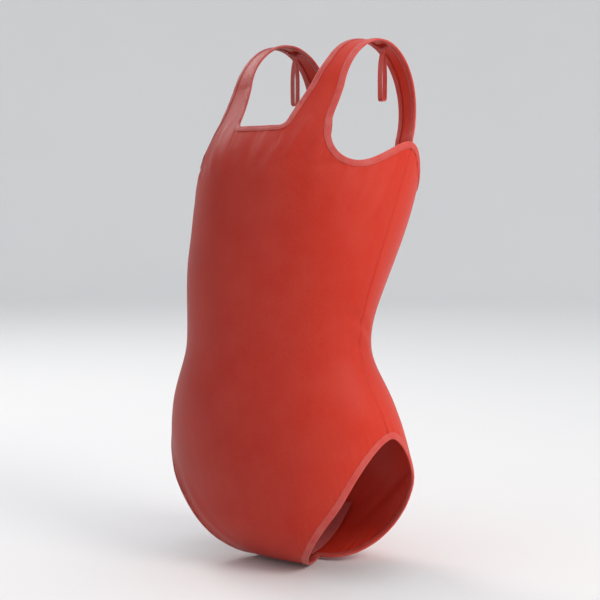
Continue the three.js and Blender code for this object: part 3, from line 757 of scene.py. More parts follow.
def knit_group():
    """Fine stretch knit: rows of small V-shaped stitches, laid along the cloth's coordinates."""
    g = Effect("leotard_knit", [("Cloth", "Vector", None), ("Wale", "Float", 0.0006),
                                ("Course", "Float", 0.0005)],
               [("Height", "Float"), ("Gap", "Float")])
    split = g.node("SeparateXYZ", i0=g.given["Cloth"])
    across = g.maths("DIVIDE", split[0], g.given["Wale"])
    up = g.maths("DIVIDE", split[1], g.given["Course"])
    side = g.maths("ABSOLUTE", g.maths("SUBTRACT", g.maths("FRACT", across), 0.5))
    slant = g.maths("MULTIPLY_ADD", side, 1.4, up)
    rung = g.maths("SINE", g.maths("MULTIPLY", slant, 2 * math.pi))
    wale = g.maths("SINE", g.maths("MULTIPLY", side, 2 * math.pi))
    loops = g.maths("MULTIPLY_ADD", rung, 0.25, 0.5)
    height = g.maths("MULTIPLY", loops, g.maths("MULTIPLY_ADD", wale, 0.7, 0.3))
    # The gap share is 1 in the troughs between the loops; the shell and the binding paint shade
    # there.
    full = g.maths("MINIMUM", g.maths("MULTIPLY", height, 3.0), 1.0)
    return g.give(Height=height, Gap=g.maths("SUBTRACT", 1.0, full))


def fade_and_shade_group():
    """A fade of the cloth's colour from the dark side over the middle tone to the bright side:
    partly the cloth's own colour, partly painted shading laid across the view.
    """
    g = Effect("leotard_ombre", [
        ("Place", "Vector", None), ("Dark", "Color", (0.3, 0.03, 0.02, 1)),
        ("Middle", "Color", (0.5, 0.05, 0.03, 1)), ("Bright", "Color", (0.7, 0.05, 0.03, 1)),
        ("Start", "Float", -0.13), ("End", "Float", 0.2)], [("Color", "Color")])
    # Painted shading: the fade runs along the camera's left-right direction, dark on the camera's
    # left, away from the key light, and bright on its right, towards it.
    turn = 40 * DEGREE
    along = g.node("VectorMath", {"operation": "DOT_PRODUCT"}, i0=g.given["Place"],
                   i1=(math.cos(turn), math.sin(turn), -0.06))["Value"]
    drift = g.node("TexNoise", Vector=g.given["Place"], Scale=7.0, Detail=2.0)[0]
    along = g.maths("ADD", along, g.maths("MULTIPLY_ADD", drift, 0.05, -0.025))
    share = g.ranged(along, g.given["Start"], g.given["End"])
    low = g.maths("MULTIPLY", share, 2.0)
    high = g.maths("MULTIPLY_ADD", share, 2.0, -1.0)
    low, high = (g.node("Clamp", i0=value)[0] for value in (low, high))
    colour = g.blended(low, g.given["Dark"], g.given["Middle"])
    return g.give(Color=g.blended(high, colour, g.given["Bright"]))


def wear_group():
    """Faint uneven wear: broad patches where the finish has dulled, and small rubbed specks."""
    g = Effect("leotard_wear", [
        ("Place", "Vector", None), ("Patch", "Float", 22.0), ("Speck", "Float", 900.0)],
        [("Patches", "Float"), ("Specks", "Float")])
    patches = g.node("TexNoise", Vector=g.given["Place"], Scale=g.given["Patch"],
                     Detail=4.0, Roughness=0.6)[0]
    specks = g.node("TexNoise", Vector=g.given["Place"], Scale=g.given["Speck"], Detail=2.0)[0]
    return g.give(Patches=g.ranged(patches, 0.35, 0.7), Specks=g.ranged(specks, 0.45, 0.75))


def strand_group():
    """Parallel strands across a direction of the cloth: filaments, ribs or a thread's twist."""
    g = Effect("leotard_strands", [
        ("Cloth", "Vector", None), ("Along", "Float", 0.0), ("Across", "Float", 1000.0),
        ("Unevenness", "Float", 0.3)], [("Height", "Float")])
    split = g.node("SeparateXYZ", i0=g.given["Cloth"])
    lean = g.maths("MULTIPLY", split[0], g.given["Along"])
    phase = g.maths("MULTIPLY_ADD", split[1], g.given["Across"], lean)
    noise = g.node("TexNoise", Vector=g.given["Cloth"], Scale=300.0, Detail=2.0)[0]
    phase = g.maths("MULTIPLY_ADD", noise, g.given["Unevenness"], phase)
    wave = g.maths("SINE", g.maths("MULTIPLY", phase, 2 * math.pi))
    return g.give(Height=g.maths("MULTIPLY_ADD", wave, 0.5, 0.5))


class Surface(Wiring):
    """One material as it is made: its node tree, its shader and its two sets of coordinates."""

    def __init__(self, groups, dye, name, **settings):
        self.groups, self.dye = groups, dye
        self.material = bpy.data.materials.new(name)
        self.material.use_nodes = True
        super().__init__(self.material.node_tree)
        self.shader = self.tree.nodes["Principled BSDF"]
        for key, value in settings.items():
            self.shader.inputs[key.replace("_", " ")].default_value = value
        self.place = self.node("TexCoord")["Object"]
        self.cloth = self.node("UVMap", {"uv_map": "cloth"})[0]

    def effect(self, name, **values):
        """The outputs of a shared effect, laid along the cloth or through space."""
        made = self.tree.nodes.new("ShaderNodeGroup")
        made.node_tree = self.groups[name]
        given = {"Place": self.place} if "Place" in made.inputs else {"Cloth": self.cloth}
        return self.fill(made, {**given, **values})

    def dyed(self, lift=0.0):
        """The fade colour with its painted shading, paler by a share."""
        dark, middle, bright = (
            [mix(c, 1.0, lift * w) for c, w in zip(tone, (1, 0.55, 0.6))] + [1]
            for tone in (self.dye.dark, self.dye.middle, self.dye.bright))
        return self.effect("fade_and_shade", Dark=dark, Middle=middle, Bright=bright,
                           Start=self.dye.start, End=self.dye.end)["Color"]

    def toned(self, colour, share, tint, most):
        """A colour drawn towards a tint by a share that changes over the surface."""
        return self.blended(self.maths("MULTIPLY", share, most), colour, (*tint, 1))

    def finish(self, colour, roughness, height, strength, depth):
        """Links the colour, the roughness and the bump into the shader."""
        self.tree.links.new(colour, self.shader.inputs["Base Color"])
        self.tree.links.new(roughness, self.shader.inputs["Roughness"])
        bump = self.node("Bump", Strength=strength, Distance=depth, Height=height)[0]
        self.tree.links.new(bump, self.shader.inputs["Normal"])
        return self.material


class Finishes:
    """The leotard's materials, made from the shared effects."""

    def __init__(self, dye, trim):
        self.groups = {"knit": knit_group(), "fade_and_shade": fade_and_shade_group(), "wear": wear_group(),
                       "strands": strand_group()}
        self.dye, self.trim = dye, trim

    def start(self, name, specular, sheen=None, sheen_roughness=0.3, **settings):
        """A new surface, with its shader's even values set."""
        if sheen is not None:
            settings.update(Sheen_Weight=sheen, Sheen_Roughness=sheen_roughness)
        return Surface(self.groups, self.dye, name, Specular_IOR_Level=specular, **settings)

    def shell(self):
        """Shiny four-way stretch knit with the colour fade and its painted shading, and painted
        shade in the gaps between the loops.
        """
        s = self.start("leotard_shell_knit", 0.15, 0.02, Sheen_Tint=(1.0, 0.5, 0.4, 1))
        knit = s.effect("knit", Wale=0.00062, Course=0.00052)
        wear = s.effect("wear")
        # Painted shading from the colour fade, and painted shade that darkens the gaps between the
        # knit's loops.
        colour = s.toned(s.dyed(), knit["Gap"], (0.12, 0.008, 0.005), 0.16)
        colour = s.toned(colour, wear["Patches"], (0.62, 0.13, 0.09), 0.10)
        colour = s.toned(colour, wear["Specks"], (0.8, 0.3, 0.22), 0.05)
        rough = s.maths("MULTIPLY_ADD", wear["Patches"], 0.10, 0.36)
        rough = s.maths("MULTIPLY_ADD", wear["Specks"], 0.05, rough)
        height = s.maths("MULTIPLY_ADD", wear["Specks"], 0.12, knit["Height"])
        return s.finish(colour, rough, height, 0.35, 0.00012)

    def binding(self):
        """The folded edge binding, a little paler and rosier than the shell."""
        s = self.start("leotard_edge_binding", 0.3, 0.08, 0.4, Sheen_Tint=(1.0, 0.7, 0.65, 1))
        knit = s.effect("knit", Wale=0.0005, Course=0.00055)
        wear = s.effect("wear", Patch=60.0, Speck=1100.0)
        # Painted shading from the colour fade, and painted shade in the gaps between the knit's
        # loops.
        colour = s.toned(s.dyed(self.trim.binding_lift), knit["Gap"], (0.16, 0.02, 0.015), 0.2)
        colour = s.toned(colour, wear["Patches"], (0.75, 0.32, 0.27), 0.2)
        rough = s.maths("MULTIPLY_ADD", wear["Patches"], 0.14, 0.42)
        height = s.maths("MULTIPLY_ADD", wear["Specks"], 0.15, knit["Height"])
        return s.finish(colour, rough, height, 0.45, 0.00014)

    def lining(self):
        """Matt power mesh, with painted shade in its small open holes, drawn as dark cells."""
        s = self.start("leotard_lining_mesh", 0.2, 0.1, 0.5)
        cells = s.node("TexVoronoi", {"feature": "DISTANCE_TO_EDGE"}, Vector=s.cloth,
                       Scale=900.0, Randomness=0.25)[0]
        hole = s.ranged(cells, 0.12, 0.3)
        wear = s.effect("wear", Patch=30.0)
        # Painted shade in the open holes, and painted shading from the colour fade.
        colour = s.toned(s.dyed(0.12), hole, (0.1, 0.01, 0.008), 0.5)
        colour = s.toned(colour, wear["Patches"], (0.7, 0.3, 0.24), 0.1)
        rough = s.maths("MULTIPLY_ADD", wear["Patches"], 0.1, 0.66)
        return s.finish(colour, rough, s.maths("SUBTRACT", 1.0, hole), 0.6, 0.0002)

    def thread(self, name, lift, tint):
        """Twisted polyester thread."""
        s = self.start(name, 0.35, 0.1, 0.4)
        twist = s.effect("strands", Along=2600.0, Across=1900.0)["Height"]
        wear = s.effect("wear", Patch=140.0, Speck=2500.0)
        # Painted shading from the colour fade, and painted shade that darkens the troughs of the
        # twist.
        colour = s.toned(s.dyed(lift), wear["Patches"], tint, 0.3)
        colour = s.toned(colour, s.maths("SUBTRACT", 1.0, twist), (0.15, 0.015, 0.01), 0.3)
        rough = s.maths("MULTIPLY_ADD", wear["Specks"], 0.15, 0.4)
        return s.finish(colour, rough, twist, 0.6, 0.00008)

    def elastic(self):
        """Knitted rubber elastic with lengthwise ribs."""
        s = self.start("leotard_elastic", 0.35)
        rib = s.effect("strands", Across=1100.0, Unevenness=0.15)["Height"]
        course = s.effect("strands", Along=1200.0, Across=0.0)["Height"]
        wear = s.effect("wear")
        hollow = s.maths("SUBTRACT", 1.0, rib)
        # Painted shade: the troughs between the ribs are drawn towards a darker grey.
        colour = s.toned((*self.trim.elastic, 1), hollow, (0.5, 0.45, 0.4), 0.5)
        colour = s.toned(colour, wear["Patches"], (0.55, 0.36, 0.3), 0.25)
        rough = s.maths("MULTIPLY_ADD", course, 0.15, 0.55)
        return s.finish(colour, rough, s.maths("MULTIPLY_ADD", course, 0.4, rib), 0.5, 0.00015)

    def ribbon(self):
        """Narrow satin ribbon, shiny along its warp."""
        s = self.start("leotard_loop_ribbon", 0.55, 0.3)
        warp = s.effect("strands", Across=2600.0, Unevenness=0.3)["Height"]
        weft = s.effect("strands", Along=1700.0, Across=0.0)["Height"]
        wear = s.effect("wear", Patch=120.0)
        # Painted shading from the colour fade.
        colour = s.toned(s.dyed(0.04), wear["Patches"], (0.7, 0.2, 0.15), 0.2)
        rough = s.maths("MULTIPLY_ADD", weft, 0.12, 0.26)
        return s.finish(colour, rough, s.maths("MULTIPLY_ADD", weft, 0.3, warp), 0.4, 0.00006)

    def satin(self):
        """Blank woven satin for the labels, with a selvage and faint creases."""
        s = self.start("leotard_label_satin", 0.5, 0.2, 0.35)
        warp = s.effect("strands", Across=3000.0, Unevenness=0.4)["Height"]
        weft = s.effect("strands", Along=2000.0, Across=0.0)["Height"]
        wear = s.effect("wear", Patch=160.0, Speck=1500.0)
        colour = s.toned((*self.trim.label, 1), wear["Patches"], (0.62, 0.58, 0.52), 0.35)
        # Painted shade: the satin is darker between the weft threads.
        colour = s.toned(colour, s.maths("SUBTRACT", 1.0, weft), (0.55, 0.52, 0.48), 0.25)
        rough = s.maths("MULTIPLY_ADD", weft, 0.15, 0.3)
        height = s.maths("MULTIPLY_ADD", weft, 0.3, s.maths("MULTIPLY", wear["Patches"], 1.5))
        return s.finish(colour, rough, s.maths("ADD", height, warp), 0.4, 0.0001)

    def floor(self, tone):
        """A plain pale matt floor."""
        s = self.start("leotard_floor", 0.2)
        wear = s.effect("wear", Patch=1.5, Speck=60.0)
        colour = s.toned((*tone, 1), wear["Patches"], (tone[0] * 0.97,) * 3, 0.5)
        rough = s.maths("MULTIPLY_ADD", wear["Specks"], 0.05, 0.85)
        return s.finish(colour, rough, wear["Specks"], 0.02, 0.0005)


MADE = {}


def finish(name, *rest):
    """One material by its name, made once."""
    if not MADE:
        MADE["finishes"] = Finishes(bpy.context.scene.leotard_dye, bpy.context.scene.leotard_trim)
    key = (name, *rest)
    if key not in MADE:
        MADE[key] = getattr(MADE["finishes"], name)(*rest)
    return MADE[key]


def sewing_thread():
    """The thread of the topstitches."""
    return finish("thread", "leotard_topstitch", 0.12, (0.85, 0.45, 0.38))


def overlock_thread():
    """The thread of the inside seams."""
    return finish("thread", "leotard_overlock", 0.04, (0.6, 0.2, 0.15))


# ---- Settings ------------------------------------------------------------------------------
def number(name, description, default, **limits):
    """A property that holds a number."""
    return bpy.props.FloatProperty(name=name, description=description, default=default, **limits)


def length(name, description, default, **limits):
    """A property that holds a length in metres."""
    return number(name, description, default, unit="LENGTH", subtype="DISTANCE", precision=5,
                  **limits)


def angle(name, description, degrees):
    """A property that holds an angle."""
    return number(name, description, degrees * DEGREE, subtype="ANGLE", unit="ROTATION")


def colour(name, description, default):
    """A property that holds a colour."""
    return bpy.props.FloatVectorProperty(name=name, description=description, default=default,
                                         subtype="COLOR", size=3, min=0, max=1)


class LeotardFadeShade(bpy.types.PropertyGroup):
    """The colours of the cloth's fade, which paint its shading too: dark on the camera's left,
    bright on its right.
    """

    # Painted shading: the dark and bright colours darken the camera's left side and brighten its
    # right side, as well as colouring the cloth.
    dark: colour("Dark side", "Dye on the wearer's right and front", (0.262, 0.012, 0.006))
    middle: colour("Middle tone", "Dye in the middle of the fade", (0.42, 0.021, 0.010))
    bright: colour("Bright side", "Dye on the wearer's left and back", (0.76, 0.043, 0.019))
    start: length("Fade start", "Where the fade starts, across the body", -0.125)
    end: length("Fade end", "Where the fade ends, across the body", 0.165)


class LeotardCloth(bpy.types.PropertyGroup):
    """The cloth's thickness and how finely it is made."""

    shell: length("Shell thickness", "Thickness of the knit", 0.00072, min=0.0003, max=0.0009)
    lining: length("Lining thickness", "Thickness of the mesh", 0.00038, min=0.0002, max=0.0006)
    step: length("Mesh step", "Distance between neighbouring points", 0.0031, min=0.002)
    groove: length("Seam groove", "Depth of the groove along a seam", 0.00105, min=0, max=0.0015)


class LeotardTrim(bpy.types.PropertyGroup):
    """The bindings, threads and labels."""

    binding_width: length("Binding width", "Width of the folded edge binding", 0.0065, min=0.005)
    thread: length("Thread radius", "Radius of the sewing thread", 0.00019, min=0.0001)
    pitch: length("Stitch pitch", "Length of one topstitch with its gap", 0.0031, min=0.002)
    binding_lift: number("Binding paleness", "How much paler the binding is than the shell", 0.045,
                         min=0, max=1, subtype="FACTOR")
    elastic: colour("Elastic", "Colour of the elastic", (0.72, 0.66, 0.6))
    label: colour("Labels", "Colour of the satin labels", (0.82, 0.8, 0.76))


class LeotardStage(bpy.types.PropertyGroup):
    """The camera, the floor and the lights."""

    azimuth: angle("Camera azimuth", "Angle of the camera round the leotard", 40)
    elevation: angle("Camera elevation", "Angle of the camera above the horizon", 4)
    lens: number("Lens", "Focal length in millimetres", 85.0, min=20)
    room: number("Room", "Frame height over the leotard's height", 1.16, min=1)
    floor: colour("Floor", "Colour of the floor and the backdrop", (0.8, 0.795, 0.785))


SETTINGS = {"leotard_dye": LeotardFadeShade, "leotard_cloth": LeotardCloth,
            "leotard_trim": LeotardTrim, "leotard_stage": LeotardStage}


def side_distance(turn, climb):
    """How far a place is from the side seam."""
    return np.abs(np.abs(turn) - QUARTER) * depth_at(climb)


GATHER_HEIGHT = 0.62
GATHER_LEAN = 0.45  # the least share of a gather's height that still counts as its distance


def elastic_wave(along):
    """The uneven waves that an elastic draws into cloth along an edge."""
    return np.sin(along / 2.1 + 1.2 * np.sin(along / 9.3))


def gathers(form):
    """A function of turn and climb for the small gathers that the elastic draws into the cloth."""
    t = np.linspace(0, 1, 500)
    lower = mix(CROTCH_TURN, QUARTER, t)
    lower = lower if form["front"] else math.pi - lower
    upper = [edge(form, t) for edge in (neck_edge, strap_base, scoop_edge, underarm_edge)]
    upper = [np.concatenate([part[k] for part in upper]) for k in (0, 1)]
    tables = []
    for (turns, climbs), weight in (((lower, leg_edge(form, lower)), 1.0), (upper, -0.6)):
        order = np.argsort(turns, kind="stable")
        turns, climbs = turns[order], climbs[order]
        slope = np.gradient(climbs, turns + 1e-7 * np.arange(len(turns))) / CHEST_HALF
        lean = 1 / np.sqrt(1 + slope**2)
        tables.append((turns, climbs, lengths(skin(turns, climbs)), lean, weight))

    def depth(turn, climb):
        total = 0
        for turns, climbs, along, lean, weight in tables:
            at = np.abs(turn)
            above = (climb - np.interp(at, turns, climbs)) * math.copysign(1, weight)
            gap = above * np.maximum(np.interp(at, turns, lean), GATHER_LEAN)
            where = np.interp(at, turns, along) + np.where(turn < 0, 37.0, 0.0)
            wave = elastic_wave(where) * (0.7 + 0.3 * np.sin(where / 11.0))
            reach = 10 + 5 * np.sin(where / 5.1)
            fade = ease((gap - 3) / 4) * np.exp(-np.clip(gap - 6, 0, None) / reach)
            total = total + abs(weight) * wave * fade * ease((60 - above) / 25)
        return GATHER_HEIGHT * total
    return depth


GROOVE_REACH, SEAM_PUCKER, FAR = 1.25, 0.16, 1e3


def fading(distance, reach):
    """A share that falls from 1 at a seam to nothing beyond its reach."""
    return np.exp(-((distance / reach) ** 2))


def shell_place(groove, gathered):
    """Places on the shell, with the cloth drawn in along the seams and puckered beside them."""
    def place(turn, climb, distance):
        side = side_distance(turn, climb)
        ends = np.minimum(np.abs(climb - SHOULDER_CLIMB), np.abs(climb - CROTCH_CLIMB))
        crotch = np.abs(np.sin(turn)) * CHEST_HALF < CROTCH_HALF + 1
        ends = np.where((climb > 0) | crotch, ends, FAR)
        drawn = groove * (fading(side, GROOVE_REACH) + fading(ends, GROOVE_REACH))
        pucker = SEAM_PUCKER * np.sin(climb * 1.15 + np.sin(climb * 0.21) * 2) * fading(side, 4.5)
        pucker = pucker * (1 - fading(side, 1.5))
        return off(turn, climb, distance - drawn + pucker + gathered(turn, climb))
    return place


def flat_area(nodes, quads, across, along):
    """The area of a worn panel before it was stretched, in square metres."""
    points = skin(*nodes.T) * MM
    a, b, c, d = (points[quads[:, k]] for k in range(4))
    doubled = sum(np.linalg.norm(np.cross(side, c - a), axis=1) for side in (b - a, d - a))
    return doubled.sum() / 2 / (across * along)


def girth(start, end, climb):
    """The length round the body between two turns, in metres."""
    return float(lengths(skin(np.linspace(start, end, 200), np.full(200, climb)))[-1]) * MM


def rise(turn, start, end):
    """The length up the body between two climbs, in metres."""
    return float(lengths(skin(np.full(300, turn), np.linspace(start, end, 300)))[-1]) * MM


# How much the worn cloth is stretched: the shell's, the lining's and the bindings'.
STRETCH_ACROSS, STRETCH_ALONG = 1.12, 1.06
LINING_ACROSS, LINING_ALONG = 1.1, 1.05
# A panel is measured across at its widest level. It is measured along its centre line up to the
# split, and from there along the line to its strap.
WIDEST, SPLIT = -140.0, LEG_TOP - 60
TRUNK_ROWS = 150


class LEOTARD_OT_panels(bpy.types.Operator):
    """Builds the front and back panels of stretch knit"""

    bl_idname = "leotard.panels"
    bl_label = "Front and back panels"

    def execute(self, context):
        settings = context.scene.leotard_cloth
        for name, form, centre in (("front_panel", FRONT, 0.0), ("back_panel", BACK, math.pi)):
            place = shell_place(settings.groove / MM, gathers(form))
            nodes, quads = panel_nodes(form, settings.step / MM, TRUNK_ROWS)
            shape = Shape().add(*cloth(nodes, quads, 0.0, settings.shell / MM, place))
            piece = shape.build(name + "_cloth", finish("shell"), "garment", "shell_knit", [name])
            wide = girth(centre - QUARTER, centre + QUARTER, WIDEST) / STRETCH_ACROSS
            tall = rise(form["turn_at"](STRAP_CENTRE), SPLIT, SHOULDER_CLIMB) / STRETCH_ALONG
            tall += rise(centre, CROTCH_CLIMB, SPLIT) / STRETCH_ALONG
            area = flat_area(nodes, quads, STRETCH_ACROSS, STRETCH_ALONG)
        return {"FINISHED"}


BUST_GAP, GUSSET_GAP = 0.5, 2.15  # between the skin's line and each lining, in millimetres
BUST_DROP, BUST_HANG, BUST_SIDE, BUST_ROWS = 33.0, 50.0, 3.2, 30
# The lower edge lies a share of the way from a line above the leg opening to one below the top.
BUST_ABOVE_LEG, BUST_LEVEL = 92.0, 0.625
GUSSET_REACH = (-62, 76)  # how far the gusset lining goes up the front and the back
GUSSET_CLEAR = 1.2  # between the gusset lining and the leg bindings


def lined(turns, climbs, gap, thick, edge):
    """A lining over a grid of places with two overlocked free edges, and its unstretched area."""
    nodes, quads = nodes_of(turns, climbs), grid(*turns.shape)[0]
    shape = Shape().add(*cloth(nodes, quads, -gap - thick, -gap))
    for column in (0, -1):
        at = turns[:, column], climbs[:, column]
        shape.add(*swept(off(*at, -gap - thick / 2), tangents(*at)[2], edge, 8))
    return shape, flat_area(nodes, quads, LINING_ACROSS, LINING_ALONG)


def bust_places():
    """The bust lining's places: from side seam to side seam, below the neckline and armholes."""
    parts = [neck_edge(FRONT, np.linspace(0, 1, 14)[:-1]), strap_base(FRONT, np.linspace(0, 1, 6)),
             scoop_edge(FRONT, np.linspace(0, 1, 12)[1:]),
             underarm_edge(FRONT, np.linspace(0, 1, 28)[1:])]
    turn, top = (np.concatenate([part[k] for part in parts]) for k in (0, 1))
    low = np.maximum(leg_edge(FRONT, turn), CROTCH_CLIMB) + BUST_ABOVE_LEG
    low, high = mix(low, top - BUST_HANG, BUST_LEVEL), top - BUST_DROP
    climbs = mix(low[:, None], high[:, None], np.linspace(0, 1, BUST_ROWS)[None])
    side = QUARTER - BUST_SIDE / depth_at(climbs)
    turns = np.minimum(np.repeat(turn[:, None], BUST_ROWS, 1), side)
    return mirrored((turns, climbs))


def gusset_places():
    """The gusset lining's places: one strip through the crotch, between the leg bindings."""
    half = (CROTCH_HALF - BINDING_WIDTH * CROTCH_SCALE - GUSSET_CLEAR) / CHEST_HALF
    share = np.linspace(-1, 1, 17)[None]
    front, back = GUSSET_REACH
    along = np.concatenate([np.linspace(front, 0, 28)[:-1], np.linspace(0, back, 34)])[:, None]
    side = np.arcsin(half * share) + 0 * along
    return np.where(along < 0, side, math.pi - side), CROTCH_CLIMB + np.abs(along) + 0 * share


class LEOTARD_OT_linings(bpy.types.Operator):
    """Builds the bust lining and the gusset lining of power mesh"""

    bl_idname = "leotard.linings"
    bl_label = "Bust and gusset linings"

    def execute(self, context):
        thick = context.scene.leotard_cloth.lining / MM
        mesh = finish("lining")
        shape, area = lined(*bust_places(), BUST_GAP, thick, 0.42)
        piece = shape.build("bust_lining_cloth", mesh, "garment", "lining_mesh", ["bust_lining"])
        wide = 2 * girth(0, QUARTER, 150.0) / LINING_ACROSS
        rise(0.5, 40.0, 190.0) / LINING_ALONG
        shape, area = lined(*gusset_places(), GUSSET_GAP, thick, 0.4)
        piece = shape.build("gusset_lining_cloth", mesh, "garment", "lining_mesh",
                            ["gusset_lining"])
        return {"FINISHED"}


EDGES = [("neck", "neck", 1), ("left_armhole", "armhole", 1), ("right_armhole", "armhole", -1),
         ("left_leg", "leg", 1), ("right_leg", "leg", -1)]


BINDING_PUCKER = 0.16
STITCH_ROWS = (1.45, 4.6)  # how far the two rows of stitches are from the binding's inner edge
BINDING_STEP, ELASTIC_STEP, ELASTIC_WIDTH = 1.7, 3.0, 4.6
OUTER_STITCHES, INNER_STITCHES = 1.42, -1.38  # off the skin
STITCH_FILL, STITCH_RISE, STITCH_SINK, ZIGZAG_RISE = 0.82, 0.2, 0.16, 0.05


# A binding's section, as (distance, off the skin). The outer face and the hem are measured from
# its inner edge, and the fold, the inner face and the inside from the cloth's edge.
OUTER_FACE = [(0, 0.95), (0.06, 1.25), (0.4, 1.44), (1.0, 1.42), (1.45, 1.3), (2.0, 1.5),
              (2.9, 1.68), (3.8, 1.62), (4.6, 1.34), (5.2, 1.52), (5.9, 1.5), (6.6, 1.3)]
FOLD_FACE = [(-0.55, 0.95), (-0.85, 0.4), (-0.88, -0.1), (-0.65, -0.62), (-0.2, -1.0)]
INNER_FACE = [(0.5, -1.2), (1.4, -1.24), (3.0, -1.3), (4.6, -1.26)]
HEM = [(0.4, -1.2), (0, -0.95), (0.1, -0.66)]
INSIDE = [(4.6, -0.68), (3.0, -0.7), (1.2, -0.68), (0.2, -0.6), (-0.25, -0.3), (-0.32, 0.2),
          (-0.2, 0.7), (0.2, 0.88), (3.0, 0.92)]


def binding_section(width):
    """The folded binding's section, as (into the cloth, off the skin)."""
    outer, hem, end = ([(width - into, out) for into, out in part]
                       for part in (OUTER_FACE, HEM, [(0.2, 0.9)]))
    return outer + FOLD_FACE + INNER_FACE + hem + INSIDE + end


def rippled(along, section):
    """Small puckers of a binding: its faces swell between the stitches."""
    out = np.where(section[..., 1] > 0, 1.0, -1.0)
    wave = 0.6 * elastic_wave(along) + 0.4 * np.sin(along / 4.7 + 2)
    return BINDING_PUCKER * wave * out * (np.abs(section[..., 1]) > 1.0)


class LEOTARD_OT_bindings(bpy.types.Operator):
    """Builds the five folded edge bindings with their elastics and twin rows of stitches"""

    bl_idname = "leotard.bindings"
    bl_label = "Edge bindings"

    def execute(self, context):
        trim = context.scene.leotard_trim
        width, radius, pitch = trim.binding_width / MM, trim.thread / MM, trim.pitch / MM
        for name, kind, sign in EDGES:
            edge = Edge(kind, sign, BINDING_STEP)
            shape = Shape().add(*edge.sweep(binding_section(width), rippled))
            piece = shape.build(name + "_binding_fold", finish("binding"), "garment",
                                "edge_binding", [name + "_binding"], 70)
            rows = Shape()
            for into in STITCH_ROWS:
                line = edge.line(width - into, OUTER_STITCHES)
                rows.add(*running_stitches(*line, pitch, STITCH_FILL, radius, STITCH_RISE,
                                           STITCH_SINK))
            first, second = (edge.line(width - into, INNER_STITCHES) for into in STITCH_ROWS)
            rows.add(*zigzag(first[0], second[0], -first[1], pitch, radius, ZIGZAG_RISE))
            stitches = rows.build(name + "_topstitch", sewing_thread(), "garment", "seam_thread")
            start = (width - ELASTIC_WIDTH) / 2
            band = [(start + across, out) for across, out in
                    ((0, -0.12), (0.8, -0.08), (2.3, -0.12), (3.8, -0.08),
                     (ELASTIC_WIDTH, -0.12), (ELASTIC_WIDTH, -0.52), (2.3, -0.56), (0, -0.52))]
            shape = Shape().add(*Edge(kind, sign, ELASTIC_STEP).sweep(band))
            shape.build(name + "_elastic_band", finish("elastic"), "garment", "elastic",
                        [name + "_elastic"])
        return {"FINISHED"}


FINE_THREAD = 0.15
SEAM_WIDTH, SEAM_TOP, SEAM_PLIES = 4.6, -0.62, 0.85  # the ridge inside a seam
SEAM_CLEAR = 7.05  # how far a seam's ridge ends from the cloth's edge, clear of the binding
PLIES_STEP, LOOP_PITCH, NEEDLES = 1.6, 1.7, (-1.2, -0.1)


def outwards(place, along):
    """The direction off the skin along a seam."""
    none = 0 * along
    return unit(place(along, none, none) - place(along, none, none - 1))


def overlock(place, start, end, width, top, thickness):
    """An overlocked seam inside the cloth: the ridge of turned plies, and its two threads.
    place(along, across, out) gives its places."""
    shape, threads = Shape(), Shape()
    half = width / 2
    low = top - thickness
    section = np.array([
        (-half, top - 0.1), (-half + 0.5, top), (half - 0.6, top), (half, top - 0.25),
        (half + 0.05, top - thickness * 0.6), (half - 0.5, low), (0.4, low - 0.06),
        (-half + 0.6, top - thickness * 0.92), (-half - 0.05, top - thickness * 0.55)])
    along = np.linspace(start, end, max(4, round(abs(end - start) / PLIES_STEP)))
    wave = 0.05 * np.sin(along * 2.1)
    points = place(along[:, None], section[None, :, 0], section[None, :, 1] + wave[:, None])
    v = np.arange(len(section) + 1) * 1.3
    faces, corners = grid(len(along), len(section), False, True, u=np.append(along, end), v=v)
    ring = np.arange(len(section))
    caps = np.stack([ring[::-1], ring + (len(along) - 1) * len(section)])
    shape.add(points, [(faces, corners), (caps, np.zeros((*caps.shape, 2)))])
    count = max(3, round(abs(end - start) / LOOP_PITCH))
    loop = np.array([
        (-1.2, -thickness - 0.14), (0.6, -thickness - 0.26), (half - 0.2, -thickness - 0.1),
        (half + 0.22, -thickness * 0.5), (half - 0.1, 0.08), (half + 0.24, -thickness * 0.45),
        (half - 0.25, -thickness - 0.12), (0.4, -thickness - 0.24)])
    share = np.linspace(0, 1, len(loop), endpoint=False)
    where = start + (np.arange(count)[:, None] + share[None]) * ((end - start) / count)
    path = place(where, loop[None, :, 0] + 0 * where, top + loop[None, :, 1] + 0 * where)
    threads.add(*swept(path.reshape(-1, 3), outwards(place, where).reshape(-1, 3), FINE_THREAD, 5))
    stitch = np.linspace(start, end, max(8, count * 4))
    lift = top - thickness - 0.12 - 0.08 * np.abs(np.sin(np.arange(len(stitch)) * math.pi / 4))
    for across in NEEDLES:
        line = place(stitch, across + 0 * stitch, lift)
        threads.add(*swept(line, outwards(place, stitch), FINE_THREAD, 5))
    return shape, threads


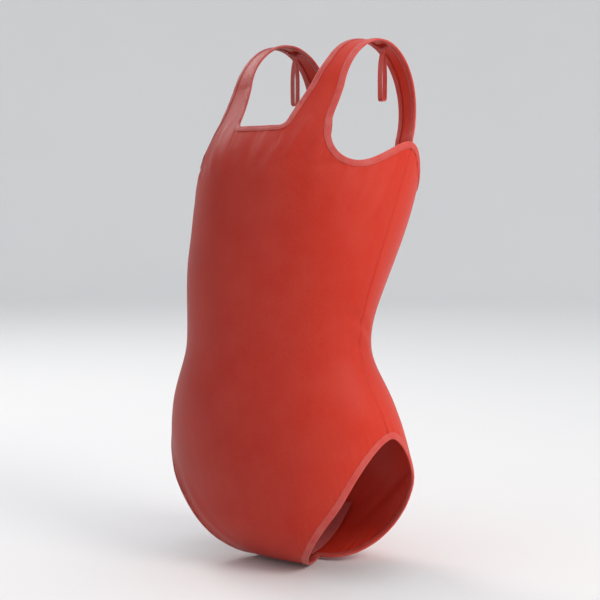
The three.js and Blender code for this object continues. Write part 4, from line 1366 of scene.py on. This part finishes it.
class LEOTARD_OT_seams(bpy.types.Operator):
    """Builds the overlocked side, shoulder and crotch seams"""

    bl_idname = "leotard.seams"
    bl_label = "Overlocked seams"

    def execute(self, context):
        crotch = CROTCH_HALF - (SEAM_CLEAR + 0.55) * CROTCH_SCALE
        seams = []
        for side, sign in (("left", 1), ("right", -1)):
            def at_side(along, across, out, sign=sign):
                return off(sign * (QUARTER + across / depth_at(along)), along, out)

            def at_shoulder(along, across, out, sign=sign):
                return off(sign * front_turn(along), SHOULDER_CLIMB + across, out)

            seams.append((side + "_side_seam", at_side,
                          LEG_TOP + SEAM_CLEAR, UNDERARM - SEAM_CLEAR))
            seams.append((side + "_shoulder_seam", at_shoulder,
                          STRAP_INNER + SEAM_CLEAR, STRAP_OUTER - SEAM_CLEAR))

        def at_crotch(along, across, out):
            return off(front_turn(along), CROTCH_CLIMB + across * SEAT_ROUND / HIP_DEPTH, out)

        seams.append(("crotch_seam", at_crotch, -crotch, crotch))
        for name, place, start, end in seams:
            ridge, threads = overlock(place, start, end, SEAM_WIDTH, SEAM_TOP, SEAM_PLIES)
            ridge.build(name + "_plies", finish("shell"), "garment", "shell_knit", [name])
            threads.build(name + "_overlock", overlock_thread(), "garment", "seam_thread")
        return {"FINISHED"}


def spline(points, count):
    """A smooth run of places through the given ones, evenly spaced."""
    points = np.array(points, float)
    ends = np.concatenate([[2 * points[0] - points[1]], points, [2 * points[-1] - points[-2]]])
    t = np.linspace(0, 1, 24)[:-1, None]
    runs = []
    for k in range(len(points) - 1):
        a, b, c, d = ends[k:k + 4]
        runs.append(0.5 * (2 * b + (c - a) * t + (2 * a - 5 * b + 4 * c - d) * t**2
                           + (3 * b - a - 3 * c + d) * t**3))
    path = np.concatenate([*runs, points[-1:]])
    along = lengths(path)
    return at_lengths(np.linspace(0, along[-1], count), along, path)


RIBBON_HALF, RIBBON_PLY, RIBBON_SELVAGE = 3.0, 0.34, 0.42
TACK_ROWS, TACK_THREAD, TACK_PAD = 15, 0.2, 0.5


def corners_of(name):
    """The low and high corners of a CAD piece's box, in millimetres."""
    return [np.array(corner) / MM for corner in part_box(name)]


def hanger_ribbon(side):
    """The ribbon of one hanger loop: two legs and a closed end."""
    low, high = corners_of(side + "_hanger_loop")
    x, y, top, bottom = (low[0] + high[0]) / 2, (low[1] + high[1]) / 2, high[2], low[2]
    gap = (high[1] - low[1]) / 2 - 0.35
    half = [(0.3, top + 0.3), (0.32, top - 3.5), (1.7, top - 8), (3.4, top - 15), (gap, top - 27),
            (gap, top - 44), (gap - 0.5, bottom + 3.4), (gap - 2.4, bottom + 0.7)]
    path = spline(half + [(0.0, bottom + 0.22)] + [(-a, b) for a, b in half[::-1]], 150)
    ahead = np.gradient(path, axis=0)
    normal = unit(np.stack([0 * ahead[:, 0], ahead[:, 1], -ahead[:, 0]], -1))
    across = np.linspace(-RIBBON_HALF, RIBBON_HALF, 7)
    twist = 0.12 * np.sin(np.linspace(0, math.pi, len(path)))[:, None] * across[None] / 3
    points = np.stack([x + across[None] + 0 * path[:, :1], y + path[:, :1] + twist,
                       path[:, 1:2] + 0 * across[None]], -1)
    ply = np.where(np.abs(across) > RIBBON_HALF - 0.1, RIBBON_SELVAGE, RIBBON_PLY)
    shape = Shape().add(*ribbon_grid(points, np.repeat(normal[:, None], len(across), 1),
                                     ply[None].repeat(len(path), 0)))
    shape.build(side + "_hanger_ribbon", finish("ribbon"), side + "_loop", "loop_ribbon",
                [side + "_hanger_loop"])


def bar_tack(side):
    """The dense zigzag of one bar tack, on both faces of the cloth, over its padding."""
    low, high = corners_of(side + "_bar_tack")
    middle = (low + high) / 2
    xs = np.linspace(low[0] + 0.3, high[0] - 0.3, TACK_ROWS * 2)
    ys = np.where(np.arange(TACK_ROWS * 2) % 2, high[1] - 0.3, low[1] + 0.3)
    path = np.stack([np.repeat(xs, 2), np.repeat(ys, 2), np.full(TACK_ROWS * 4, middle[2])], -1)
    path[1::2, 0] += 0.1
    share = np.linspace(0, 1, 6)[None, :-1, None]
    dense = np.concatenate([mix(path[:-1, None], path[1:, None], share).reshape(-1, 3), path[-1:]])
    arch = np.abs(dense[:, 1] - middle[1]) / (high[1] - low[1]) * 2
    tack = Shape()
    for face in (1, -1):
        line = dense.copy()
        line[:, 2] += face * (0.36 - 0.3 * arch**3)
        tack.add(*swept(line, np.array([0.0, 0.0, face]) + 0 * line, TACK_THREAD, 6))
    pad = np.stack(np.meshgrid(np.linspace(low[0] + 0.2, high[0] - 0.2, 8),
                               np.linspace(low[1] + 0.3, high[1] - 0.3, 10), indexing="ij"), -1)
    pad = np.concatenate([pad, np.full((*pad.shape[:2], 1), middle[2])], -1)
    tack.add(*ribbon_grid(pad, np.array([0.0, 0.0, 1.0]) + 0 * pad, TACK_PAD))
    tack.build(side + "_bar_tack_stitches", overlock_thread(), "garment", "seam_thread",
               [side + "_bar_tack"])


class LEOTARD_OT_hangers(bpy.types.Operator):
    """Builds the two ribbon hanger loops and the bar tacks that hold them"""

    bl_idname = "leotard.hangers"
    bl_label = "Hanger loops and bar tacks"

    def execute(self, context):
        for side in ("left", "right"):
            hanger_ribbon(side)
            bar_tack(side)
        return {"FINISHED"}


SIZE_LABEL, CARE_LABEL = (30.0, 20.0), (34.0, 20.0)  # width and height, in millimetres
LABEL_HEM, LABEL_PLY, LABEL_FOLD, LABEL_PITCH = 1.6, 0.26, 0.46, 2.4


def label_piece(label, body, joint, directions, size, curl, attach):
    """A satin label with turned side edges and a stitched top edge, hung from its joint's place.
    directions are across it, down it and out of its face. attach is how far its top edge reaches
    back to the cloth."""
    name = label + "_satin"
    top = np.array(joint["pos_m"]) / MM
    across, down, face = directions
    width, height = size
    u = np.linspace(-width / 2, width / 2, 31)
    v = np.sort(np.concatenate([np.linspace(0, height, 29), [1.0, 2.0]]))
    uu, vv = np.meshgrid(u, v, indexing="ij")
    bend = attach * np.clip(1 - vv / 6, 0, 1) ** 2
    wave = curl * (vv / height) ** 2 * (0.75 + 0.25 * np.cos(uu / width * 5))
    wave = (wave + 0.22 * np.sin(uu / 3.1 + vv / 6)) * ease(vv / 4)
    points = top + uu[..., None] * across + vv[..., None] * down + (wave + bend)[..., None] * face
    along_u, along_v = np.gradient(points, axis=0), np.gradient(points, axis=1)
    normals = unit(np.cross(along_u, along_v))
    normals = normals * np.sign((normals * face).sum(-1, keepdims=True))
    hem = (np.abs(uu) > width / 2 - LABEL_HEM) | (vv > height - LABEL_HEM)
    shape = Shape().add(*ribbon_grid(points, normals, np.where(hem, LABEL_FOLD, LABEL_PLY)))
    piece = shape.build(name, finish("satin"), body, "label_satin", [label])
    rows = Shape()
    run = width - 3
    count = round(run / LABEL_PITCH)
    at = -run / 2 + stitch_places(count, 0.8) * run / count
    for side in (1, -1):
        normal = unit(at_lengths(at, u, normals[:, 2])) * side
        lift = (0.13 + 0.16 * STITCH_ARCH)[None, :, None]
        rows.add(*swept(at_lengths(at, u, points[:, 2]) + normal * lift, normal, FINE_THREAD, 6))
    stitches = rows.build(name + "_stitches", sewing_thread(), body, "seam_thread")


class LEOTARD_OT_labels(bpy.types.Operator):
    """Builds the blank size and care labels"""

    bl_idname = "leotard.labels"
    bl_label = "Labels"

    def execute(self, context):
        joints = {joint["name"]: joint for joint in frame["joints"]}
        size, care = (joints[name + "_label_flap"] for name in ("size", "care"))
        # Each label's directions across, down and out are those of its CAD piece.
        across, down, face = np.array([[1.0, 0, 0], [0, -0.5375, -0.8433], [0, 0.8433, -0.5375]])
        label_piece("size_label", "neck_label", size,
                    (across, unit(down), face), SIZE_LABEL, -1.6, 1.9)
        along = unit(np.array(care["axis"]))
        reach = unit(np.array([-0.89316, -0.14432, -0.42595]))
        label_piece("care_label", "side_label", care,
                    (along, reach, unit(np.cross(reach, along))), CARE_LABEL, 1.4, 0.0)
        return {"FINISHED"}


# The floor is a wide round dish, so that it curves up into a backdrop on every side.
DISH_FLAT, DISH_CURVE, DISH_WALL, DISH_SIDES = 4.2, 1.4, 2.6, 96
# Name, place as (camera's right, up, towards the camera), size, power, tint.
LAMPS = [("key_light", (2.0, 1.7, 1.9), 1.4, 40.0, (1.0, 0.97, 0.93)),
         ("fill_light", (-2.4, 0.8, 1.8), 2.0, 8.0, (0.95, 0.97, 1.0)),
         ("rim_light", (-1.3, 1.9, -1.8), 1.2, 22.0, (1.0, 0.98, 0.96)),
         ("top_light", (0.2, 2.6, 0.1), 2.0, 7.0, (1.0, 1.0, 1.0))]
SKY, SKY_STRENGTH = (0.93, 0.95, 1.0, 1), 0.82


def stood(name, data, place, facing):
    """An object of the stage at a place, whose -Z looks along a direction."""
    made = bpy.data.objects.new(name, data)
    made.location = place
    made.rotation_mode = "QUATERNION"
    made.rotation_quaternion = facing.to_track_quat("-Z", "Y")
    bpy.context.scene.collection.objects.link(made)
    return made


def studio_floor(centre, level, tone):
    """The dish of the floor, as one smooth mesh."""
    bend = np.linspace(0, QUARTER, 20)
    profile = [(0.02, 0.0), (0.6, 0.0), (2.0, 0.0)]
    profile += [(DISH_FLAT + DISH_CURVE * math.sin(t), DISH_CURVE - DISH_CURVE * math.cos(t))
                for t in bend]
    profile += [(DISH_FLAT + DISH_CURVE, DISH_WALL)]
    turns = np.arange(DISH_SIDES) * 2 * math.pi / DISH_SIDES
    points = [(centre.x + d * math.cos(t), centre.y + d * math.sin(t), level + h)
              for d, h in profile for t in turns]
    faces = [tuple(face[::-1]) for face in grid(len(profile), DISH_SIDES, False, True)[0].tolist()]
    faces.append(tuple(range(DISH_SIDES)))
    mesh = bpy.data.meshes.new("studio_floor")
    mesh.from_pydata(points, [], faces)
    mesh.polygons.foreach_set("use_smooth", [True] * len(faces))
    mesh.materials.append(finish("floor", tone))
    floor = bpy.data.objects.new("studio_floor", mesh)
    bpy.context.scene.collection.objects.link(floor)
    floor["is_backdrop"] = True


class LEOTARD_OT_stage(bpy.types.Operator):
    """Builds the pale floor and backdrop, the lights and the camera"""

    bl_idname = "leotard.stage"
    bl_label = "Stage"

    def execute(self, context):
        stage = context.scene.leotard_stage
        low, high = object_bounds()
        centre = (low + high) / 2
        level = math.cos(stage.elevation)
        back = Vector((math.sin(stage.azimuth) * level, -math.cos(stage.azimuth) * level,
                       math.sin(stage.elevation)))
        away = -Vector((back.x, back.y, 0)).normalized()
        right = Vector((away.y, -away.x, 0))
        studio_floor(centre, low.z - MM, tuple(stage.floor))
        camera = bpy.data.cameras.new("camera")
        camera.lens = stage.lens
        distance = (high.z - low.z) / 2 * stage.room / (camera.sensor_width / 2 / stage.lens)
        context.scene.camera = stood("camera", camera, centre + back * distance, -back)
        for name, (across, up, near_by), size, power, tint in LAMPS:
            lamp = bpy.data.lights.new(name, "AREA")
            lamp.shape, lamp.size, lamp.energy, lamp.color = "DISK", size, power, tint
            place = centre + right * across + Vector((0, 0, up)) - away * near_by
            stood(name, lamp, place, centre - place)
        world = bpy.data.worlds.new("studio")
        world.use_nodes = True
        background = world.node_tree.nodes["Background"]
        background.inputs["Color"].default_value = SKY
        background.inputs["Strength"].default_value = SKY_STRENGTH
        context.scene.world = world
        context.scene.view_settings.view_transform = "Standard"
        return {"FINISHED"}


class LEOTARD_PT_builder(bpy.types.Panel):
    """Lists the leotard's pieces and their settings"""

    bl_idname = "LEOTARD_PT_builder"
    bl_label = "Gymnastics Leotard"
    bl_space_type = "VIEW_3D"
    bl_region_type = "UI"
    bl_category = "Leotard"

    def draw(self, context):
        for group in SETTINGS:
            box = self.layout.box()
            box.label(text=group.replace("leotard_", "").title())
            settings = getattr(context.scene, group)
            for name in settings.__annotations__:
                box.prop(settings, name)
        for operator in OPERATORS:
            self.layout.operator(operator.bl_idname)


OPERATORS = [LEOTARD_OT_panels, LEOTARD_OT_linings, LEOTARD_OT_bindings, LEOTARD_OT_seams,
             LEOTARD_OT_hangers, LEOTARD_OT_labels, LEOTARD_OT_stage]
CLASSES = [*SETTINGS.values(), *OPERATORS, LEOTARD_PT_builder]


def register():
    """Registers the settings, the operators and the panel."""
    for kind in CLASSES:
        bpy.utils.register_class(kind)
    for name, kind in SETTINGS.items():
        setattr(bpy.types.Scene, name, bpy.props.PointerProperty(type=kind))


def unregister():
    """Removes them again."""
    for name in SETTINGS:
        delattr(bpy.types.Scene, name)
    for kind in reversed(CLASSES):
        bpy.utils.unregister_class(kind)


def main():
    """Builds the leotard and its stage."""
    register()
    bpy.ops.leotard.panels()
    bpy.ops.leotard.linings()
    bpy.ops.leotard.bindings()
    bpy.ops.leotard.seams()
    bpy.ops.leotard.hangers()
    bpy.ops.leotard.labels()
    bpy.ops.leotard.stage()


if __name__ == "__main__":
    main()
